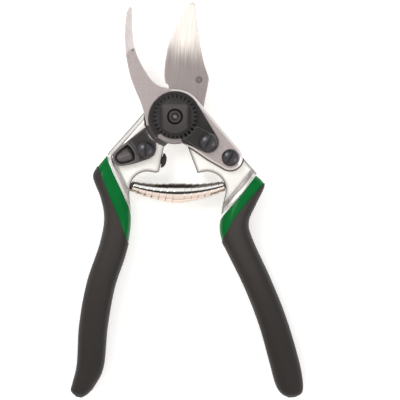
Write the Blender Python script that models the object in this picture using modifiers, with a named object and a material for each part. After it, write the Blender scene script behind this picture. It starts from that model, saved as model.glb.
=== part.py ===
"""Bypass pruning shears, fully open, lying flat on the pivot bolt's head and the grips.

Metres, +Z up. The origin is on the pivot axis at the table, and +Y runs to the blade tips.
The layers stack up from the table round the pivot bolt: bolt head, washer, left handle's ear,
cutting blade, counter blade, nut plate, nut. The left handle carries the cutting blade and the
thumb catch, and the right handle carries the hooked counter blade and the nut's lock segment.
"""
import math

import bmesh
import bpy
import numpy as np
from mathutils import Vector

MM = 0.001

# ---- driving sizes -------------------------------------------------------------------------
BLADE_REACH = 60.0 * MM           # pivot to the cutting blade's tip
HANDLE_REACH = 145.5 * MM         # pivot to the ends of the grips
HUB_RADIUS = 14.5 * MM            # counter blade's hub; the heads are laid out round it

GAP = 0.3 * MM                    # between pieces that touch
RUNNING_GAP = 0.5 * MM            # between pieces that pass each other

BOLT_HEAD_THICKNESS = 3.0 * MM
WASHER_THICKNESS = 0.7 * MM
EAR_THICKNESS = 4.0 * MM
BLADE_THICKNESS = 2.8 * MM
HOOK_THICKNESS = 4.3 * MM
NUT_PLATE_THICKNESS = 1.5 * MM
NUT_FLANGE_THICKNESS = 2.5 * MM
NUT_BOSS_HEIGHT = 2.4 * MM
CATCH_THICKNESS = 4.0 * MM
SPRING_WASHER_THICKNESS = 0.6 * MM
SCREW_HEAD_HEIGHT = 2.5 * MM

BOLT_HEAD_RADIUS = 9.0 * MM
BOLT_RADIUS = 4.8 * MM
THREAD_RADIUS = 3.75 * MM
BUSH_WALL = 1.3 * MM
BLADE_HUB_SETBACK = 0.9 * MM      # blade's hub inside the counter blade's
EAR_SETBACK = 0.7 * MM            # handle's ear inside the counter blade's hub
HUB_FOOT_SETBACK = 0.4 * MM       # hub's lower edge, either side of the lock lug
LUG_HEIGHT = 1.1 * MM             # lock lug over the hub's edge
HEAD_CLEARANCE = 1.7 * MM         # handle heads' round edge outside the hub
BLADE_PIN_RADIUS = 1.6 * MM
SCREW_HEAD_RADIUS = 4.5 * MM
SCREW_SHANK_RADIUS = 2.4 * MM
SCREW_LENGTH = 6.0 * MM           # shank below the clamped piece
SLOT_WIDTH = 0.9 * MM
SLOT_DEPTH = 1.2 * MM
NUT_TEETH = 30
NUT_TIP_RADIUS = 11.5 * MM
NUT_ROOT_RADIUS = 10.0 * MM
NUT_BOSS_RADIUS = 8.6 * MM
NUT_FLATS = 14.2 * MM
BUMPER_RADIUS = 3.9 * MM
BUMPER_BULGE = 2.4 * MM
BUMPER_STEM_RADIUS = 2.0 * MM
BUMPER_STEM_LENGTH = 4.0 * MM
STUD_RADIUS = 1.7 * MM
STUD_LENGTH = 9.0 * MM
STUD_PROUD = 4.6 * MM

SPRING_TURNS = 12
SPRING_END_RADIUS = 2.65 * MM
SPRING_MIDDLE_RADIUS = 5.25 * MM
SPRING_STRIP = 0.35 * MM
SPRING_STRIP_COVER = 0.8          # strip's width over one turn's advance
SPRING_SAG = 3.7 * MM             # middle of the bowed spring below its ends

GRIP_WALL = 2.5 * MM
BAND_STEP = 0.4 * MM              # band's surface below the grip's
COLLAR_STEP = 0.5 * MM            # handle's surface below the grip's, beside the band
SECTION_SQUARENESS = 2.5          # exponent of the grips' rounded section
SECTION_SIDES = 14
STEPS_PER_SPAN = 2                # loft sections between two given ones

GRIND_WIDTH = 6.5 * MM            # ground bevel on the blade's back
EDGE_THICKNESS = 0.3 * MM
CHAMFER = 0.3 * MM
CATCH_SCOOP_DEPTH = 1.8 * MM

# ---- heights of the layers, worked out from the thicknesses ----------------------------------
WASHER_BOTTOM = BOLT_HEAD_THICKNESS + GAP
EAR_BOTTOM = WASHER_BOTTOM + WASHER_THICKNESS + GAP
EAR_TOP = EAR_BOTTOM + EAR_THICKNESS
BLADE_BOTTOM = EAR_TOP + GAP
BLADE_TOP = BLADE_BOTTOM + BLADE_THICKNESS
HOOK_BOTTOM = BLADE_TOP + GAP
HOOK_TOP = HOOK_BOTTOM + HOOK_THICKNESS
NUT_PLATE_BOTTOM = HOOK_TOP + GAP
NUT_PLATE_TOP = NUT_PLATE_BOTTOM + NUT_PLATE_THICKNESS
NUT_BOTTOM = NUT_PLATE_TOP + GAP
FLANGE_TOP = NUT_BOTTOM + NUT_FLANGE_THICKNESS
NUT_TOP = FLANGE_TOP + NUT_BOSS_HEIGHT
CATCH_TOP = HOOK_BOTTOM + CATCH_THICKNESS
HEAD_TOP = BLADE_TOP              # platforms of both handle heads
SPRING_HEIGHT = (EAR_BOTTOM + HEAD_TOP) / 2

# ---- the plan, drawn in millimetres for the reach and hub below and stretched to the sizes -----
DRAWN_BLADE_REACH = 60.0 * MM
DRAWN_HANDLE_REACH = 145.5 * MM
DRAWN_HUB_RADIUS = 14.5 * MM
NECK_DEPTH = 50.0 * MM            # below this the handles stretch with their reach


def drawn(x, y):
    """A point of the plan in metres: out with the hub, up with the blades, down with the grips."""
    point = Vector((x, y)) * MM
    reach = point.length
    if reach > 0:
        grown = HUB_RADIUS - DRAWN_HUB_RADIUS
        point += point.normalized() * grown * min(1.0, reach / DRAWN_HUB_RADIUS)
    if point.y > HUB_RADIUS:
        stretch = (BLADE_REACH - HUB_RADIUS) / (DRAWN_BLADE_REACH - DRAWN_HUB_RADIUS)
        point.y = HUB_RADIUS + (y * MM - DRAWN_HUB_RADIUS) * stretch
    if point.y < -NECK_DEPTH:
        stretch = (HANDLE_REACH - NECK_DEPTH) / (DRAWN_HANDLE_REACH - NECK_DEPTH)
        point.y = -NECK_DEPTH + (point.y + NECK_DEPTH) * stretch
    return point


def polar(radius, degrees, centre=(0.0, 0.0)):
    turn = math.radians(degrees)
    return Vector((centre[0] + radius * math.cos(turn), centre[1] + radius * math.sin(turn)))


def arc(radius, start, end, centre=(0.0, 0.0), step=7.5):
    """Points of an arc from one angle to another, both ends included."""
    count = max(2, round(abs(end - start) / step) + 1)
    return [polar(radius, angle, centre) for angle in np.linspace(start, end, count)]


def smooth(points, steps=3):
    """A curve through all the points, with a few points between each two."""
    rows = [np.array(point, dtype=float) for point in points]
    rows = [2 * rows[0] - rows[1]] + rows + [2 * rows[-1] - rows[-2]]
    curve = []
    for before, start, end, after in zip(rows, rows[1:], rows[2:], rows[3:]):
        for t in np.arange(steps) / steps:
            slope_in = (end - before) / 2
            slope_out = (after - start) / 2
            curve.append((2 * t ** 3 - 3 * t ** 2 + 1) * start + (t ** 3 - 2 * t ** 2 + t) * slope_in
                         + (3 * t ** 2 - 2 * t ** 3) * end + (t ** 3 - t ** 2) * slope_out)
    curve.append(rows[-2])
    return curve


def smooth_plan(points, steps=3):
    return [Vector(point) for point in smooth([drawn(x, y) for x, y in points], steps)]


# ---- making objects ----------------------------------------------------------------------------
for old in list(bpy.data.objects):
    bpy.data.objects.remove(old, do_unlink=True)

shears = bpy.data.collections.new("pruning_shears")
cutters = bpy.data.collections.new("cutters")
for collection in (shears, cutters):
    bpy.context.scene.collection.children.link(collection)


def material(name, colour, roughness, metallic):
    made = bpy.data.materials.new(name)
    made.use_nodes = True
    shader = made.node_tree.nodes["Principled BSDF"]
    shader.inputs["Base Color"].default_value = (*colour, 1.0)
    shader.inputs["Roughness"].default_value = roughness
    shader.inputs["Metallic"].default_value = metallic
    return made


BLADE_STEEL = material("blade_steel", (0.42, 0.38, 0.37), 0.32, 1.0)
FORGED_ALUMINIUM = material("forged_aluminium", (0.86, 0.84, 0.81), 0.35, 1.0)
BLACK_STEEL = material("black_steel", (0.045, 0.04, 0.042), 0.45, 0.3)
GRIP_RUBBER = material("grip_rubber", (0.065, 0.055, 0.05), 0.8, 0.0)
BUMPER_RUBBER = material("bumper_rubber", (0.06, 0.05, 0.05), 0.7, 0.0)
GREEN_PLASTIC = material("green_plastic", (0.0, 0.22, 0.07), 0.25, 0.0)
SPRING_CHROME = material("spring_chrome", (0.75, 0.73, 0.7), 0.15, 1.0)
BRONZE = material("bronze", (0.55, 0.36, 0.16), 0.4, 1.0)


def place(name, mesh, look=None):
    """An object in the shears, or a hidden cutter when it has no material."""
    made = bpy.data.objects.new(name, mesh)
    if look:
        mesh.materials.append(look)
        shears.objects.link(made)
    else:
        made.hide_render = True
        made.display_type = "WIRE"
        cutters.objects.link(made)
    return made


def plate(name, outline, bottom, top, look=None):
    """A flat piece cut to an outline: a filled 2D curve with a thickness, welded into one mesh."""
    curve = bpy.data.curves.new(name + "_outline", "CURVE")
    curve.dimensions = "2D"
    curve.fill_mode = "BOTH"
    curve.extrude = (top - bottom) / 2
    spline = curve.splines.new("POLY")
    spline.points.add(len(outline) - 1)
    for target, point in zip(spline.points, outline):
        target.co = (point[0], point[1], 0.0, 1.0)
    spline.use_cyclic_u = True
    flat = bpy.data.objects.new(name + "_outline", curve)
    bpy.context.scene.collection.objects.link(flat)
    mesh = bpy.data.meshes.new_from_object(flat.evaluated_get(bpy.context.evaluated_depsgraph_get()))
    bpy.data.objects.remove(flat, do_unlink=True)
    shape = bmesh.new()
    shape.from_mesh(mesh)
    bmesh.ops.remove_doubles(shape, verts=shape.verts, dist=1e-6)
    bmesh.ops.dissolve_limit(shape, angle_limit=1e-3, verts=shape.verts, edges=shape.edges)
    bmesh.ops.recalc_face_normals(shape, faces=shape.faces)
    bmesh.ops.translate(shape, verts=shape.verts, vec=(0, 0, (bottom + top) / 2))
    shape.to_mesh(mesh)
    shape.free()
    return place(name, mesh, look)


def turned(name, profile, centre, look=None, steps=32, tilt=None):
    """A turned piece: its profile runs down the outer side as (radius, height) pairs."""
    mesh = bpy.data.meshes.new(name)
    closed = profile[0][0] > 0
    count = len(profile)
    edges = [(i, (i + 1) % count) for i in range(count if closed else count - 1)]
    mesh.from_pydata([(radius, 0.0, height) for radius, height in profile], edges, [])
    made = place(name, mesh, look)
    made.location = (centre[0], centre[1], centre[2] if len(centre) > 2 else 0.0)
    if tilt:
        made.rotation_euler = Vector(tilt).to_track_quat("Z", "Y").to_euler()
    screw = made.modifiers.new("turn", "SCREW")
    screw.steps = steps
    screw.render_steps = steps
    screw.use_merge_vertices = True
    screw.merge_threshold = 1e-5
    return made


def rod(name, radius, bottom, top, centre, steps=24, tilt=None):
    return turned(name, [(0, top), (radius, top), (radius, bottom), (0, bottom)], centre, None, steps, tilt)


def ring(inner, outer, bottom, top):
    return [(outer, top), (outer, bottom), (inner, bottom), (inner, top)]


def change(target, tool, operation):
    modifier = target.modifiers.new(tool.name, "BOOLEAN")
    modifier.object = tool
    modifier.operation = operation


def cut(target, *tools):
    for tool in tools:
        change(target, tool, "DIFFERENCE")


def join(target, *additions):
    for addition in additions:
        change(target, addition, "UNION")


def loft(name, sections, look=None):
    """A skin over rings of points, closed at both ends by flat caps."""
    shape = bmesh.new()
    rings = [[shape.verts.new(point) for point in section] for section in sections]
    sides = len(rings[0])
    for near, far in zip(rings, rings[1:]):
        for i in range(sides):
            j = (i + 1) % sides
            shape.faces.new((near[i], near[j], far[j], far[i]))
    shape.faces.new(reversed(rings[0]))
    shape.faces.new(rings[-1])
    bmesh.ops.recalc_face_normals(shape, faces=shape.faces)
    mesh = bpy.data.meshes.new(name)
    shape.to_mesh(mesh)
    shape.free()
    return place(name, mesh, look)


def slotted_screw(name, centre, seat, slot_angle, length):
    """A screw with a domed head on its seat, and a screwdriver slot across the dome."""
    dome = [(SCREW_HEAD_RADIUS * math.sin(turn), seat + SCREW_HEAD_HEIGHT * math.cos(turn))
            for turn in np.linspace(0, math.radians(80), 6)]
    profile = dome + [(SCREW_HEAD_RADIUS, seat), (SCREW_SHANK_RADIUS, seat),
                      (SCREW_SHANK_RADIUS, seat - length), (0, seat - length)]
    screw = turned(name, profile, centre, BLACK_STEEL, steps=24)
    along = polar(SCREW_HEAD_RADIUS * 1.2, slot_angle)
    across = polar(SLOT_WIDTH / 2, slot_angle + 90)
    corners = [along + across, -along + across, -along - across, along - across]
    slot = plate(name + "_slot", [corner + Vector(centre) for corner in corners],
                 seat + SCREW_HEAD_HEIGHT - SLOT_DEPTH, seat + SCREW_HEAD_HEIGHT + GAP)
    cut(screw, slot)
    return screw


# ---- pivot: the hole through everything, and its bolt, washer and bush ----------------------------
BUSH_OUTER = BOLT_RADIUS + GAP + BUSH_WALL
PIVOT = (0.0, 0.0)
bush_hole = rod("bush_hole", BUSH_OUTER + GAP, 0.0, NUT_TOP, PIVOT)
bolt_hole = rod("bolt_hole", BOLT_RADIUS + GAP, 0.0, NUT_TOP, PIVOT)
thread_hole = rod("thread_hole", THREAD_RADIUS + GAP, NUT_BOTTOM - GAP, NUT_TOP + GAP, PIVOT)

BOLT_EDGE = 0.8 * MM
DIMPLE_RADIUS = 2.0 * MM
DIMPLE_DEPTH = 0.8 * MM
bolt_end = NUT_TOP - GAP
turned("pivot_bolt", [(0, bolt_end - DIMPLE_DEPTH), (DIMPLE_RADIUS, bolt_end), (THREAD_RADIUS, bolt_end),
                      (THREAD_RADIUS, NUT_PLATE_TOP), (BOLT_RADIUS, NUT_PLATE_TOP),
                      (BOLT_RADIUS, BOLT_HEAD_THICKNESS), (BOLT_HEAD_RADIUS, BOLT_HEAD_THICKNESS),
                      (BOLT_HEAD_RADIUS, BOLT_EDGE), (BOLT_HEAD_RADIUS - BOLT_EDGE, 0), (0, 0)],
       PIVOT, BLACK_STEEL)
turned("thrust_washer", ring(BOLT_RADIUS + GAP, BOLT_HEAD_RADIUS, WASHER_BOTTOM,
                             WASHER_BOTTOM + WASHER_THICKNESS), PIVOT, BRONZE)
turned("pivot_bush", ring(BOLT_RADIUS + GAP, BUSH_OUTER, EAR_BOTTOM, BLADE_TOP), PIVOT, BRONZE)

# ---- places on the heads ---------------------------------------------------------------------------
LUG_RADIUS = HUB_RADIUS + LUG_HEIGHT
HUB_FOOT_RADIUS = HUB_RADIUS - HUB_FOOT_SETBACK
HEAD_RADIUS = HUB_RADIUS + HEAD_CLEARANCE
CATCH_PIVOT = drawn(-15.3, -17.1)
SEGMENT_SCREW = drawn(17.2, -13.2)
HOOK_SCREW = drawn(28.6, -21.1)
BLADE_PIN = polar((BUSH_OUTER + HUB_RADIUS - EAR_SETBACK) / 2, 150)

# ---- counter blade: hook, hub plate with its lock lug, and the tang on the right handle -------------
TANG_END_RADIUS = 6.4 * MM
LUG_PEAK_ANGLE = 228
LUG_FOOT_ANGLE = 207
NOTCH_END_ANGLE = 200.5


def lug_edge():
    """The hub's edge from the lug's steep side, up over the lug and down its long ramp."""
    ramp = [polar(LUG_RADIUS + (HUB_FOOT_RADIUS - LUG_RADIUS) * t,
                  LUG_PEAK_ANGLE + (LUG_FOOT_ANGLE - LUG_PEAK_ANGLE) * t) for t in np.linspace(0, 1, 5)]
    return ramp + [polar(HUB_FOOT_RADIUS, NOTCH_END_ANGLE)]


hook_inner = smooth_plan([(-22.5, 56.0), (-22.4, 52.7), (-22.0, 44.8), (-20.8, 36.1), (-18.2, 28.9),
                          (-12.9, 20.0), (-8.2, 16.1), (-2.6, 14.6)])
hook_outer = smooth_plan([(-14.6, -4.7), (-15.5, -0.6), (-16.4, 2.8), (-17.8, 7.3), (-21.0, 14.9),
                          (-23.5, 22.1), (-25.7, 33.3), (-26.2, 44.8), (-25.5, 53.0), (-24.6, 55.8),
                          (-23.2, 57.1)])
hook_outline = (hook_inner + arc(HUB_RADIUS, 92, 40) + arc(TANG_END_RADIUS, 38, -125, HOOK_SCREW)
                + smooth_plan([(16.6, -21.6), (9.7, -16.8), (5.6, -14.6)])
                + arc(HUB_FOOT_RADIUS, -75, -131) + lug_edge() + hook_outer)
counter_blade = plate("counter_blade", hook_outline, HOOK_BOTTOM, HOOK_TOP, BLADE_STEEL)

# ---- cutting blade: flat face up, ground bevel along the cutting edge on its back ---------------------
BLADE_HUB_RADIUS = HUB_RADIUS - BLADE_HUB_SETBACK
cutting_edge = smooth_plan([(-5.2, 18.3), (-5.6, 21.8), (-5.5, 26.1), (-4.9, 31.0), (-2.9, 40.5),
                            (0.1, 46.9), (3.3, 53.5), (6.2, 58.0), (9.2, 60.0)])
blade_back = smooth_plan([(10.6, 58.5), (11.1, 52.7), (12.0, 44.8), (13.2, 36.6), (15.1, 27.7),
                          (17.4, 20.6), (17.2, 17.5), (16.3, 12.6), (15.4, 8.0), (14.8, 3.8)])
wire_notch = smooth_plan([(-3.9, 14.6), (-3.4, 15.9), (-4.1, 17.2), (-5.1, 17.6)], steps=2)
blade_hub = arc(BLADE_HUB_RADIUS, 2, -250, step=10)
blade_outline = cutting_edge + blade_back + blade_hub + wire_notch
ground = range(len(cutting_edge))


def inside(outline, index, distance):
    """A point set in from the outline, square to it."""
    before, after = outline[index - 1], outline[(index + 1) % len(outline)]
    along = (after - before).normalized()
    return outline[index] + Vector((along.y, -along.x)) * distance


def blade_rings():
    """Flat top, chamfered or ground sides, and the flat back inside the grind."""
    count = len(blade_outline)
    top, side, back = [], [], []
    for i, point in enumerate(blade_outline):
        if i in ground:
            near_end = min(1.0, (len(cutting_edge) - 1 - i) / 6 + 0.1, i / 2 + 0.1)
            side_height = BLADE_BOTTOM + (BLADE_THICKNESS - EDGE_THICKNESS) * near_end
            inset = GRIND_WIDTH * near_end
        else:
            side_height = BLADE_BOTTOM + CHAMFER
            inset = CHAMFER
        set_in = inside(blade_outline, i % count, inset)
        top.append((*point, BLADE_TOP))
        side.append((*point, side_height))
        back.append((*set_in, BLADE_BOTTOM))
    return [top, side, back]


cutting_blade = loft("cutting_blade", blade_rings(), BLADE_STEEL)
pin_hole = rod("pin_hole", BLADE_PIN_RADIUS + GAP, EAR_BOTTOM + GAP, BLADE_TOP + GAP, BLADE_PIN, steps=16)
turned("blade_pin", [(0, BLADE_TOP), (BLADE_PIN_RADIUS, BLADE_TOP), (BLADE_PIN_RADIUS, EAR_BOTTOM + 2 * GAP),
                     (0, EAR_BOTTOM + 2 * GAP)], BLADE_PIN, BLACK_STEEL, steps=16)
cut(cutting_blade, bush_hole, pin_hole)

# ---- nut plate, toothed nut and the segment that locks it --------------------------------------------
NUT_PLATE_RADIUS = HUB_RADIUS - 1.1 * MM
SEGMENT_END_RADIUS = 5.5 * MM
plate_end = arc(SEGMENT_END_RADIUS, 30, -112, SEGMENT_SCREW)
nut_plate = plate("nut_plate", arc(NUT_PLATE_RADIUS, 205, 30) + plate_end
                  + smooth_plan([(10.0, -15.9), (6.4, -14.5), (3.8, -13.2)])
                  + arc(NUT_TIP_RADIUS, -75, -130) + [polar(NUT_PLATE_RADIUS + 1.0 * MM, -136)],
                  NUT_PLATE_BOTTOM, NUT_PLATE_TOP, BLACK_STEEL)


def toothed(root, tip, first, teeth, share):
    """A toothed edge: each tooth has a flat tip and root, and sloping flanks between them."""
    pitch = 360 / NUT_TEETH
    points = []
    for tooth in range(teeth):
        middle = first + tooth * pitch
        for offset, radius in ((-share, root), (-share / 2, tip), (share / 2, tip), (share, root)):
            points.append(polar(radius, middle + offset * pitch))
    return points


nut_flange = toothed(NUT_ROOT_RADIUS, NUT_TIP_RADIUS, 0, NUT_TEETH, 0.33)
pivot_nut = plate("pivot_nut", nut_flange, NUT_BOTTOM, FLANGE_TOP, BLACK_STEEL)
flat_angle = math.degrees(math.acos(NUT_FLATS / 2 / NUT_BOSS_RADIUS))
nut_boss = plate("nut_boss", arc(NUT_BOSS_RADIUS, flat_angle, 180 - flat_angle)
                 + arc(NUT_BOSS_RADIUS, 180 + flat_angle, 360 - flat_angle), FLANGE_TOP - GAP, NUT_TOP)
join(pivot_nut, nut_boss)
cut(pivot_nut, thread_hole)

SEGMENT_CLEARANCE = 0.5 * MM
SEGMENT_TEETH = 4
pitch = 360 / NUT_TEETH
first_gap = -pitch * 5.5
segment_teeth = toothed(NUT_TIP_RADIUS + SEGMENT_CLEARANCE, NUT_ROOT_RADIUS + SEGMENT_CLEARANCE,
                        first_gap, SEGMENT_TEETH, 0.24)
segment_start = polar(NUT_TIP_RADIUS + SEGMENT_CLEARANCE, first_gap - 0.6 * pitch)
segment_finish = polar(NUT_TIP_RADIUS + SEGMENT_CLEARANCE, first_gap + (SEGMENT_TEETH - 0.4) * pitch)
lock_segment = plate("lock_segment", [segment_start] + segment_teeth + [segment_finish]
                     + arc(SEGMENT_END_RADIUS - GAP, 42, -118, SEGMENT_SCREW),
                     NUT_BOTTOM, FLANGE_TOP, BLACK_STEEL)

screw_hole = rod("segment_screw_hole", SCREW_SHANK_RADIUS + GAP, HEAD_TOP - SCREW_LENGTH - 2 * GAP,
                 FLANGE_TOP + GAP, SEGMENT_SCREW, steps=16)
hook_screw_hole = rod("hook_screw_hole", SCREW_SHANK_RADIUS + GAP, HEAD_TOP - SCREW_LENGTH - 2 * GAP,
                      HOOK_TOP + GAP, HOOK_SCREW, steps=16)
segment_seat = FLANGE_TOP + GAP
hook_seat = HOOK_TOP + GAP
slotted_screw("segment_screw", SEGMENT_SCREW, segment_seat, 63, segment_seat - HEAD_TOP + SCREW_LENGTH)
slotted_screw("hook_screw", HOOK_SCREW, hook_seat, 60, hook_seat - HEAD_TOP + SCREW_LENGTH)
cut(counter_blade, bolt_hole, screw_hole, hook_screw_hole)
cut(nut_plate, bolt_hole, screw_hole)
cut(lock_segment, screw_hole)

# ---- grips, bands and handle cores: one lofted body for each side, cut up along two lines -------------
# A section is its outer point, its inner point, and its bottom and top heights, in millimetres.
LEFT_SECTIONS = [((-29.5, -12.8), (-22.0, -30.5), 5.0, 10.6), ((-36.5, -20.6), (-23.6, -36.5), 3.0, 14.6),
                 ((-41.0, -26.4), (-23.6, -40.5), 1.8, 16.8), ((-42.6, -31.5), (-23.1, -46.0), 0.9, 18.0),
                 ((-38.6, -42.2), (-22.6, -53.0), 0.3, 18.7), ((-36.9, -53.0), (-23.3, -61.5), 0.0, 19.0),
                 ((-39.4, -66.3), (-25.9, -72.5), 0.0, 19.0), ((-45.9, -85.6), (-31.7, -88.6), 0.3, 18.7),
                 ((-49.9, -107.5), (-35.7, -108.5), 0.5, 18.5), ((-51.1, -128.0), (-37.8, -129.3), 0.5, 18.5),
                 ((-53.4, -138.0), (-42.0, -139.0), 1.0, 18.0), ((-54.2, -142.0), (-45.2, -143.6), 2.3, 16.7),
                 ((-51.6, -145.0), (-48.2, -145.5), 6.0, 13.0)]
RIGHT_SECTIONS = [((35.8, -22.0), (24.8, -33.0), 5.0, 10.6), ((41.6, -29.2), (26.4, -38.5), 3.0, 14.6),
                  ((45.2, -32.6), (26.0, -42.5), 1.8, 16.8), ((46.4, -36.0), (25.2, -48.0), 0.9, 18.0),
                  ((42.0, -45.4), (23.3, -56.0), 0.3, 18.7), ((38.3, -54.5), (24.0, -63.5), 0.0, 19.0),
                  ((40.4, -63.6), (27.6, -71.5), 0.0, 19.0), ((49.4, -83.2), (36.2, -89.2), 0.3, 18.7),
                  ((57.7, -103.9), (43.6, -108.4), 0.5, 18.5), ((64.2, -125.8), (48.9, -127.3), 0.5, 18.5),
                  ((66.3, -137.0), (52.0, -138.6), 1.0, 18.0), ((66.0, -142.8), (55.0, -143.4), 2.3, 16.7),
                  ((63.0, -145.1), (58.6, -145.5), 6.0, 13.0)]
HIDDEN_ENDS = 2                   # sections at the closed end that the core stops short of


def handle_body(name, sections, inset, whole=True):
    """The rounded body of one handle, from its head to its end, made smaller all round by inset."""
    kept = sections if whole else sections[:-HIDDEN_ENDS]
    rows = [(*drawn(*outer), *drawn(*inner), bottom * MM, top * MM) for outer, inner, bottom, top in kept]
    rings = []
    for row in smooth(rows, STEPS_PER_SPAN):
        outer, inner = Vector(row[0:2]), Vector(row[2:4])
        half_width = (outer - inner) / 2
        half_width -= half_width.normalized() * min(inset, half_width.length * 0.9)
        middle = (outer + inner) / 2
        height = (row[4] + row[5]) / 2
        half_height = max((row[5] - row[4]) / 2 - inset, GAP)
        points = []
        for turn in np.linspace(0, 2 * math.pi, SECTION_SIDES, endpoint=False):
            across = math.copysign(abs(math.cos(turn)) ** (2 / SECTION_SQUARENESS), math.cos(turn))
            up = math.copysign(abs(math.sin(turn)) ** (2 / SECTION_SQUARENESS), math.sin(turn))
            spot = middle + half_width * across
            points.append((spot.x, spot.y, height + half_height * up))
        rings.append(points)
    return loft(name, rings)


def side_block(name, line, far_corners, shift):
    """A block that holds everything on one side of a line across a handle."""
    points = [drawn(x, y) + shift for x, y in line] + [drawn(x, y) for x, y in far_corners]
    return plate(name, points, -5 * MM, NUT_TOP + 5 * MM)


def solid_object(name, cutter, look):
    """A shown piece that starts as a copy of a hidden body."""
    return place(name, cutter.data.copy(), look)


def covered_handle(side, sections, head_line, grip_line, head_corners, grip_corners, towards_head):
    """Makes one side's band and grip, and returns the collar and core that its handle is made with."""
    shift = Vector(towards_head).normalized() * GAP / 2
    hollow = handle_body(side + "_hollow", sections, GRIP_WALL, whole=False)
    grip = solid_object(side + "_grip", handle_body(side + "_grip_body", sections, 0.0), GRIP_RUBBER)
    band = solid_object(side + "_grip_band", handle_body(side + "_band_body", sections, BAND_STEP),
                        GREEN_PLASTIC)
    cut(grip, side_block(side + "_above_grip", grip_line, head_corners, -shift), hollow)
    cut(band, side_block(side + "_above_band", head_line, head_corners, -shift),
        side_block(side + "_below_band", grip_line, grip_corners, shift), hollow)
    collar = handle_body(side + "_collar", sections, COLLAR_STEP)
    below_head = side_block(side + "_below_head", head_line, grip_corners, shift)
    cut(collar, below_head)
    core = handle_body(side + "_core", sections, GRIP_WALL + GAP, whole=False)
    return collar, core, below_head


LEFT_HEAD_LINE = [(-35.9, -13.0), (-35.2, -19.0), (-34.6, -23.0), (-31.8, -30.0), (-27.0, -40.0),
                  (-23.9, -46.5), (-22.6, -52.0), (-20.5, -62.0)]
LEFT_GRIP_LINE = [(-44.0, -15.0), (-40.2, -25.0), (-34.0, -40.6), (-29.5, -51.0), (-24.7, -63.8),
                  (-20.5, -75.0)]
RIGHT_HEAD_LINE = [(50.0, -19.5), (42.7, -29.1), (35.2, -39.0), (24.7, -51.2), (22.9, -54.0), (18.0, -62.0)]
RIGHT_GRIP_LINE = [(56.0, -23.0), (46.3, -33.9), (37.0, -44.2), (30.8, -52.0), (25.4, -61.5), (20.5, -73.0)]
left_collar, left_core, left_below_head = covered_handle(
    "left", LEFT_SECTIONS, LEFT_HEAD_LINE, LEFT_GRIP_LINE, [(0, -60), (0, 10), (-40, 10)],
    [(-20, -180), (-90, -180), (-90, -13)], (0.913, 0.408))
right_collar, right_core, right_below_head = covered_handle(
    "right", RIGHT_SECTIONS, RIGHT_HEAD_LINE, RIGHT_GRIP_LINE, [(0, -60), (0, 10), (50, 10)],
    [(18, -180), (100, -180), (100, -19)], (-0.776, 0.631))

# ---- left handle: ear round the pivot, catch platform and nose -----------------------------------------
EAR_RADIUS = HUB_RADIUS - EAR_SETBACK
left_inner = smooth_plan([(-22.9, -50.0), (-23.3, -46.0), (-23.8, -38.7), (-22.6, -33.2), (-19.6, -29.8),
                          (-15.1, -28.2), (-10.0, -28.9)])
left_outline = (arc(EAR_RADIUS, 138, -105) + [drawn(-5.8, -15.4), drawn(-8.3, -28.2)] + left_inner[::-1]
                + [drawn(-27.0, -50.0), drawn(-35.0, -35.0), drawn(-36.6, -20.6)])
left_handle = plate("left_handle", left_outline, EAR_BOTTOM, HEAD_TOP, FORGED_ALUMINIUM)
hub_room = rod("hub_room", HEAD_RADIUS, EAR_TOP, NUT_TOP, PIVOT, steps=48)

nose_face = drawn(-8.3, -28.2) - drawn(-5.8, -15.4)
nose_out = Vector((-nose_face.y, nose_face.x, 0)).normalized()
BUMPER_SPOT = (drawn(-5.8, -15.4) + nose_face * 0.54).to_3d() + Vector((0, 0, (EAR_BOTTOM + HEAD_TOP) / 2))
# Studs for the spring stand in the necks' inner sides, along the bowed spring's ends.
LEFT_SPRING_END = drawn(-23.0, -35.6)
RIGHT_SPRING_END = drawn(25.4, -35.6)
spring_chord = RIGHT_SPRING_END - LEFT_SPRING_END
bow_radius = (spring_chord.length ** 2 / 4 + SPRING_SAG ** 2) / (2 * SPRING_SAG)
end_slope = math.asin(spring_chord.length / 2 / bow_radius)
left_stud_way = Vector((math.cos(end_slope), -math.sin(end_slope), 0))
right_stud_way = Vector((-math.cos(end_slope), -math.sin(end_slope), 0))


def stud(name, foot, way):
    """A spring stud, its blind hole, and where its proud end starts."""
    base = foot.to_3d() + Vector((0, 0, SPRING_HEIGHT))
    sunk = STUD_LENGTH - STUD_PROUD
    turned(name, [(0, STUD_PROUD), (STUD_RADIUS, STUD_PROUD), (STUD_RADIUS, -sunk), (0, -sunk)],
           base, BLACK_STEEL, steps=16, tilt=way)
    return rod(name + "_hole", STUD_RADIUS + GAP, -sunk - GAP, STUD_PROUD, base, steps=16, tilt=way)


bumper_dome = [(BUMPER_RADIUS * math.sin(turn), GAP + BUMPER_BULGE * math.cos(turn))
               for turn in np.linspace(0, math.pi / 2, 6)]
turned("stop_bumper", bumper_dome + [(BUMPER_STEM_RADIUS, GAP), (BUMPER_STEM_RADIUS, -BUMPER_STEM_LENGTH),
                                     (0, -BUMPER_STEM_LENGTH)],
       BUMPER_SPOT, BUMPER_RUBBER, steps=20, tilt=nose_out)
bumper_hole = rod("bumper_hole", BUMPER_STEM_RADIUS + GAP, -BUMPER_STEM_LENGTH - GAP, 2 * GAP,
                  BUMPER_SPOT, steps=16, tilt=nose_out)
catch_screw_hole = rod("catch_screw_hole", SCREW_SHANK_RADIUS + GAP, HEAD_TOP - SCREW_LENGTH - 2 * GAP,
                       CATCH_TOP + GAP, CATCH_PIVOT, steps=16)
CATCH_REACH = (drawn(-32.4, -21.0) - CATCH_PIVOT).length
catch_room = rod("catch_room", CATCH_REACH + RUNNING_GAP, HEAD_TOP - GAP, NUT_TOP, CATCH_PIVOT, steps=48)
cut(left_collar, catch_room)
cut(left_core, catch_room)
cut(left_handle, left_below_head, hub_room, bush_hole, pin_hole)
join(left_handle, left_collar, left_core)
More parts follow.
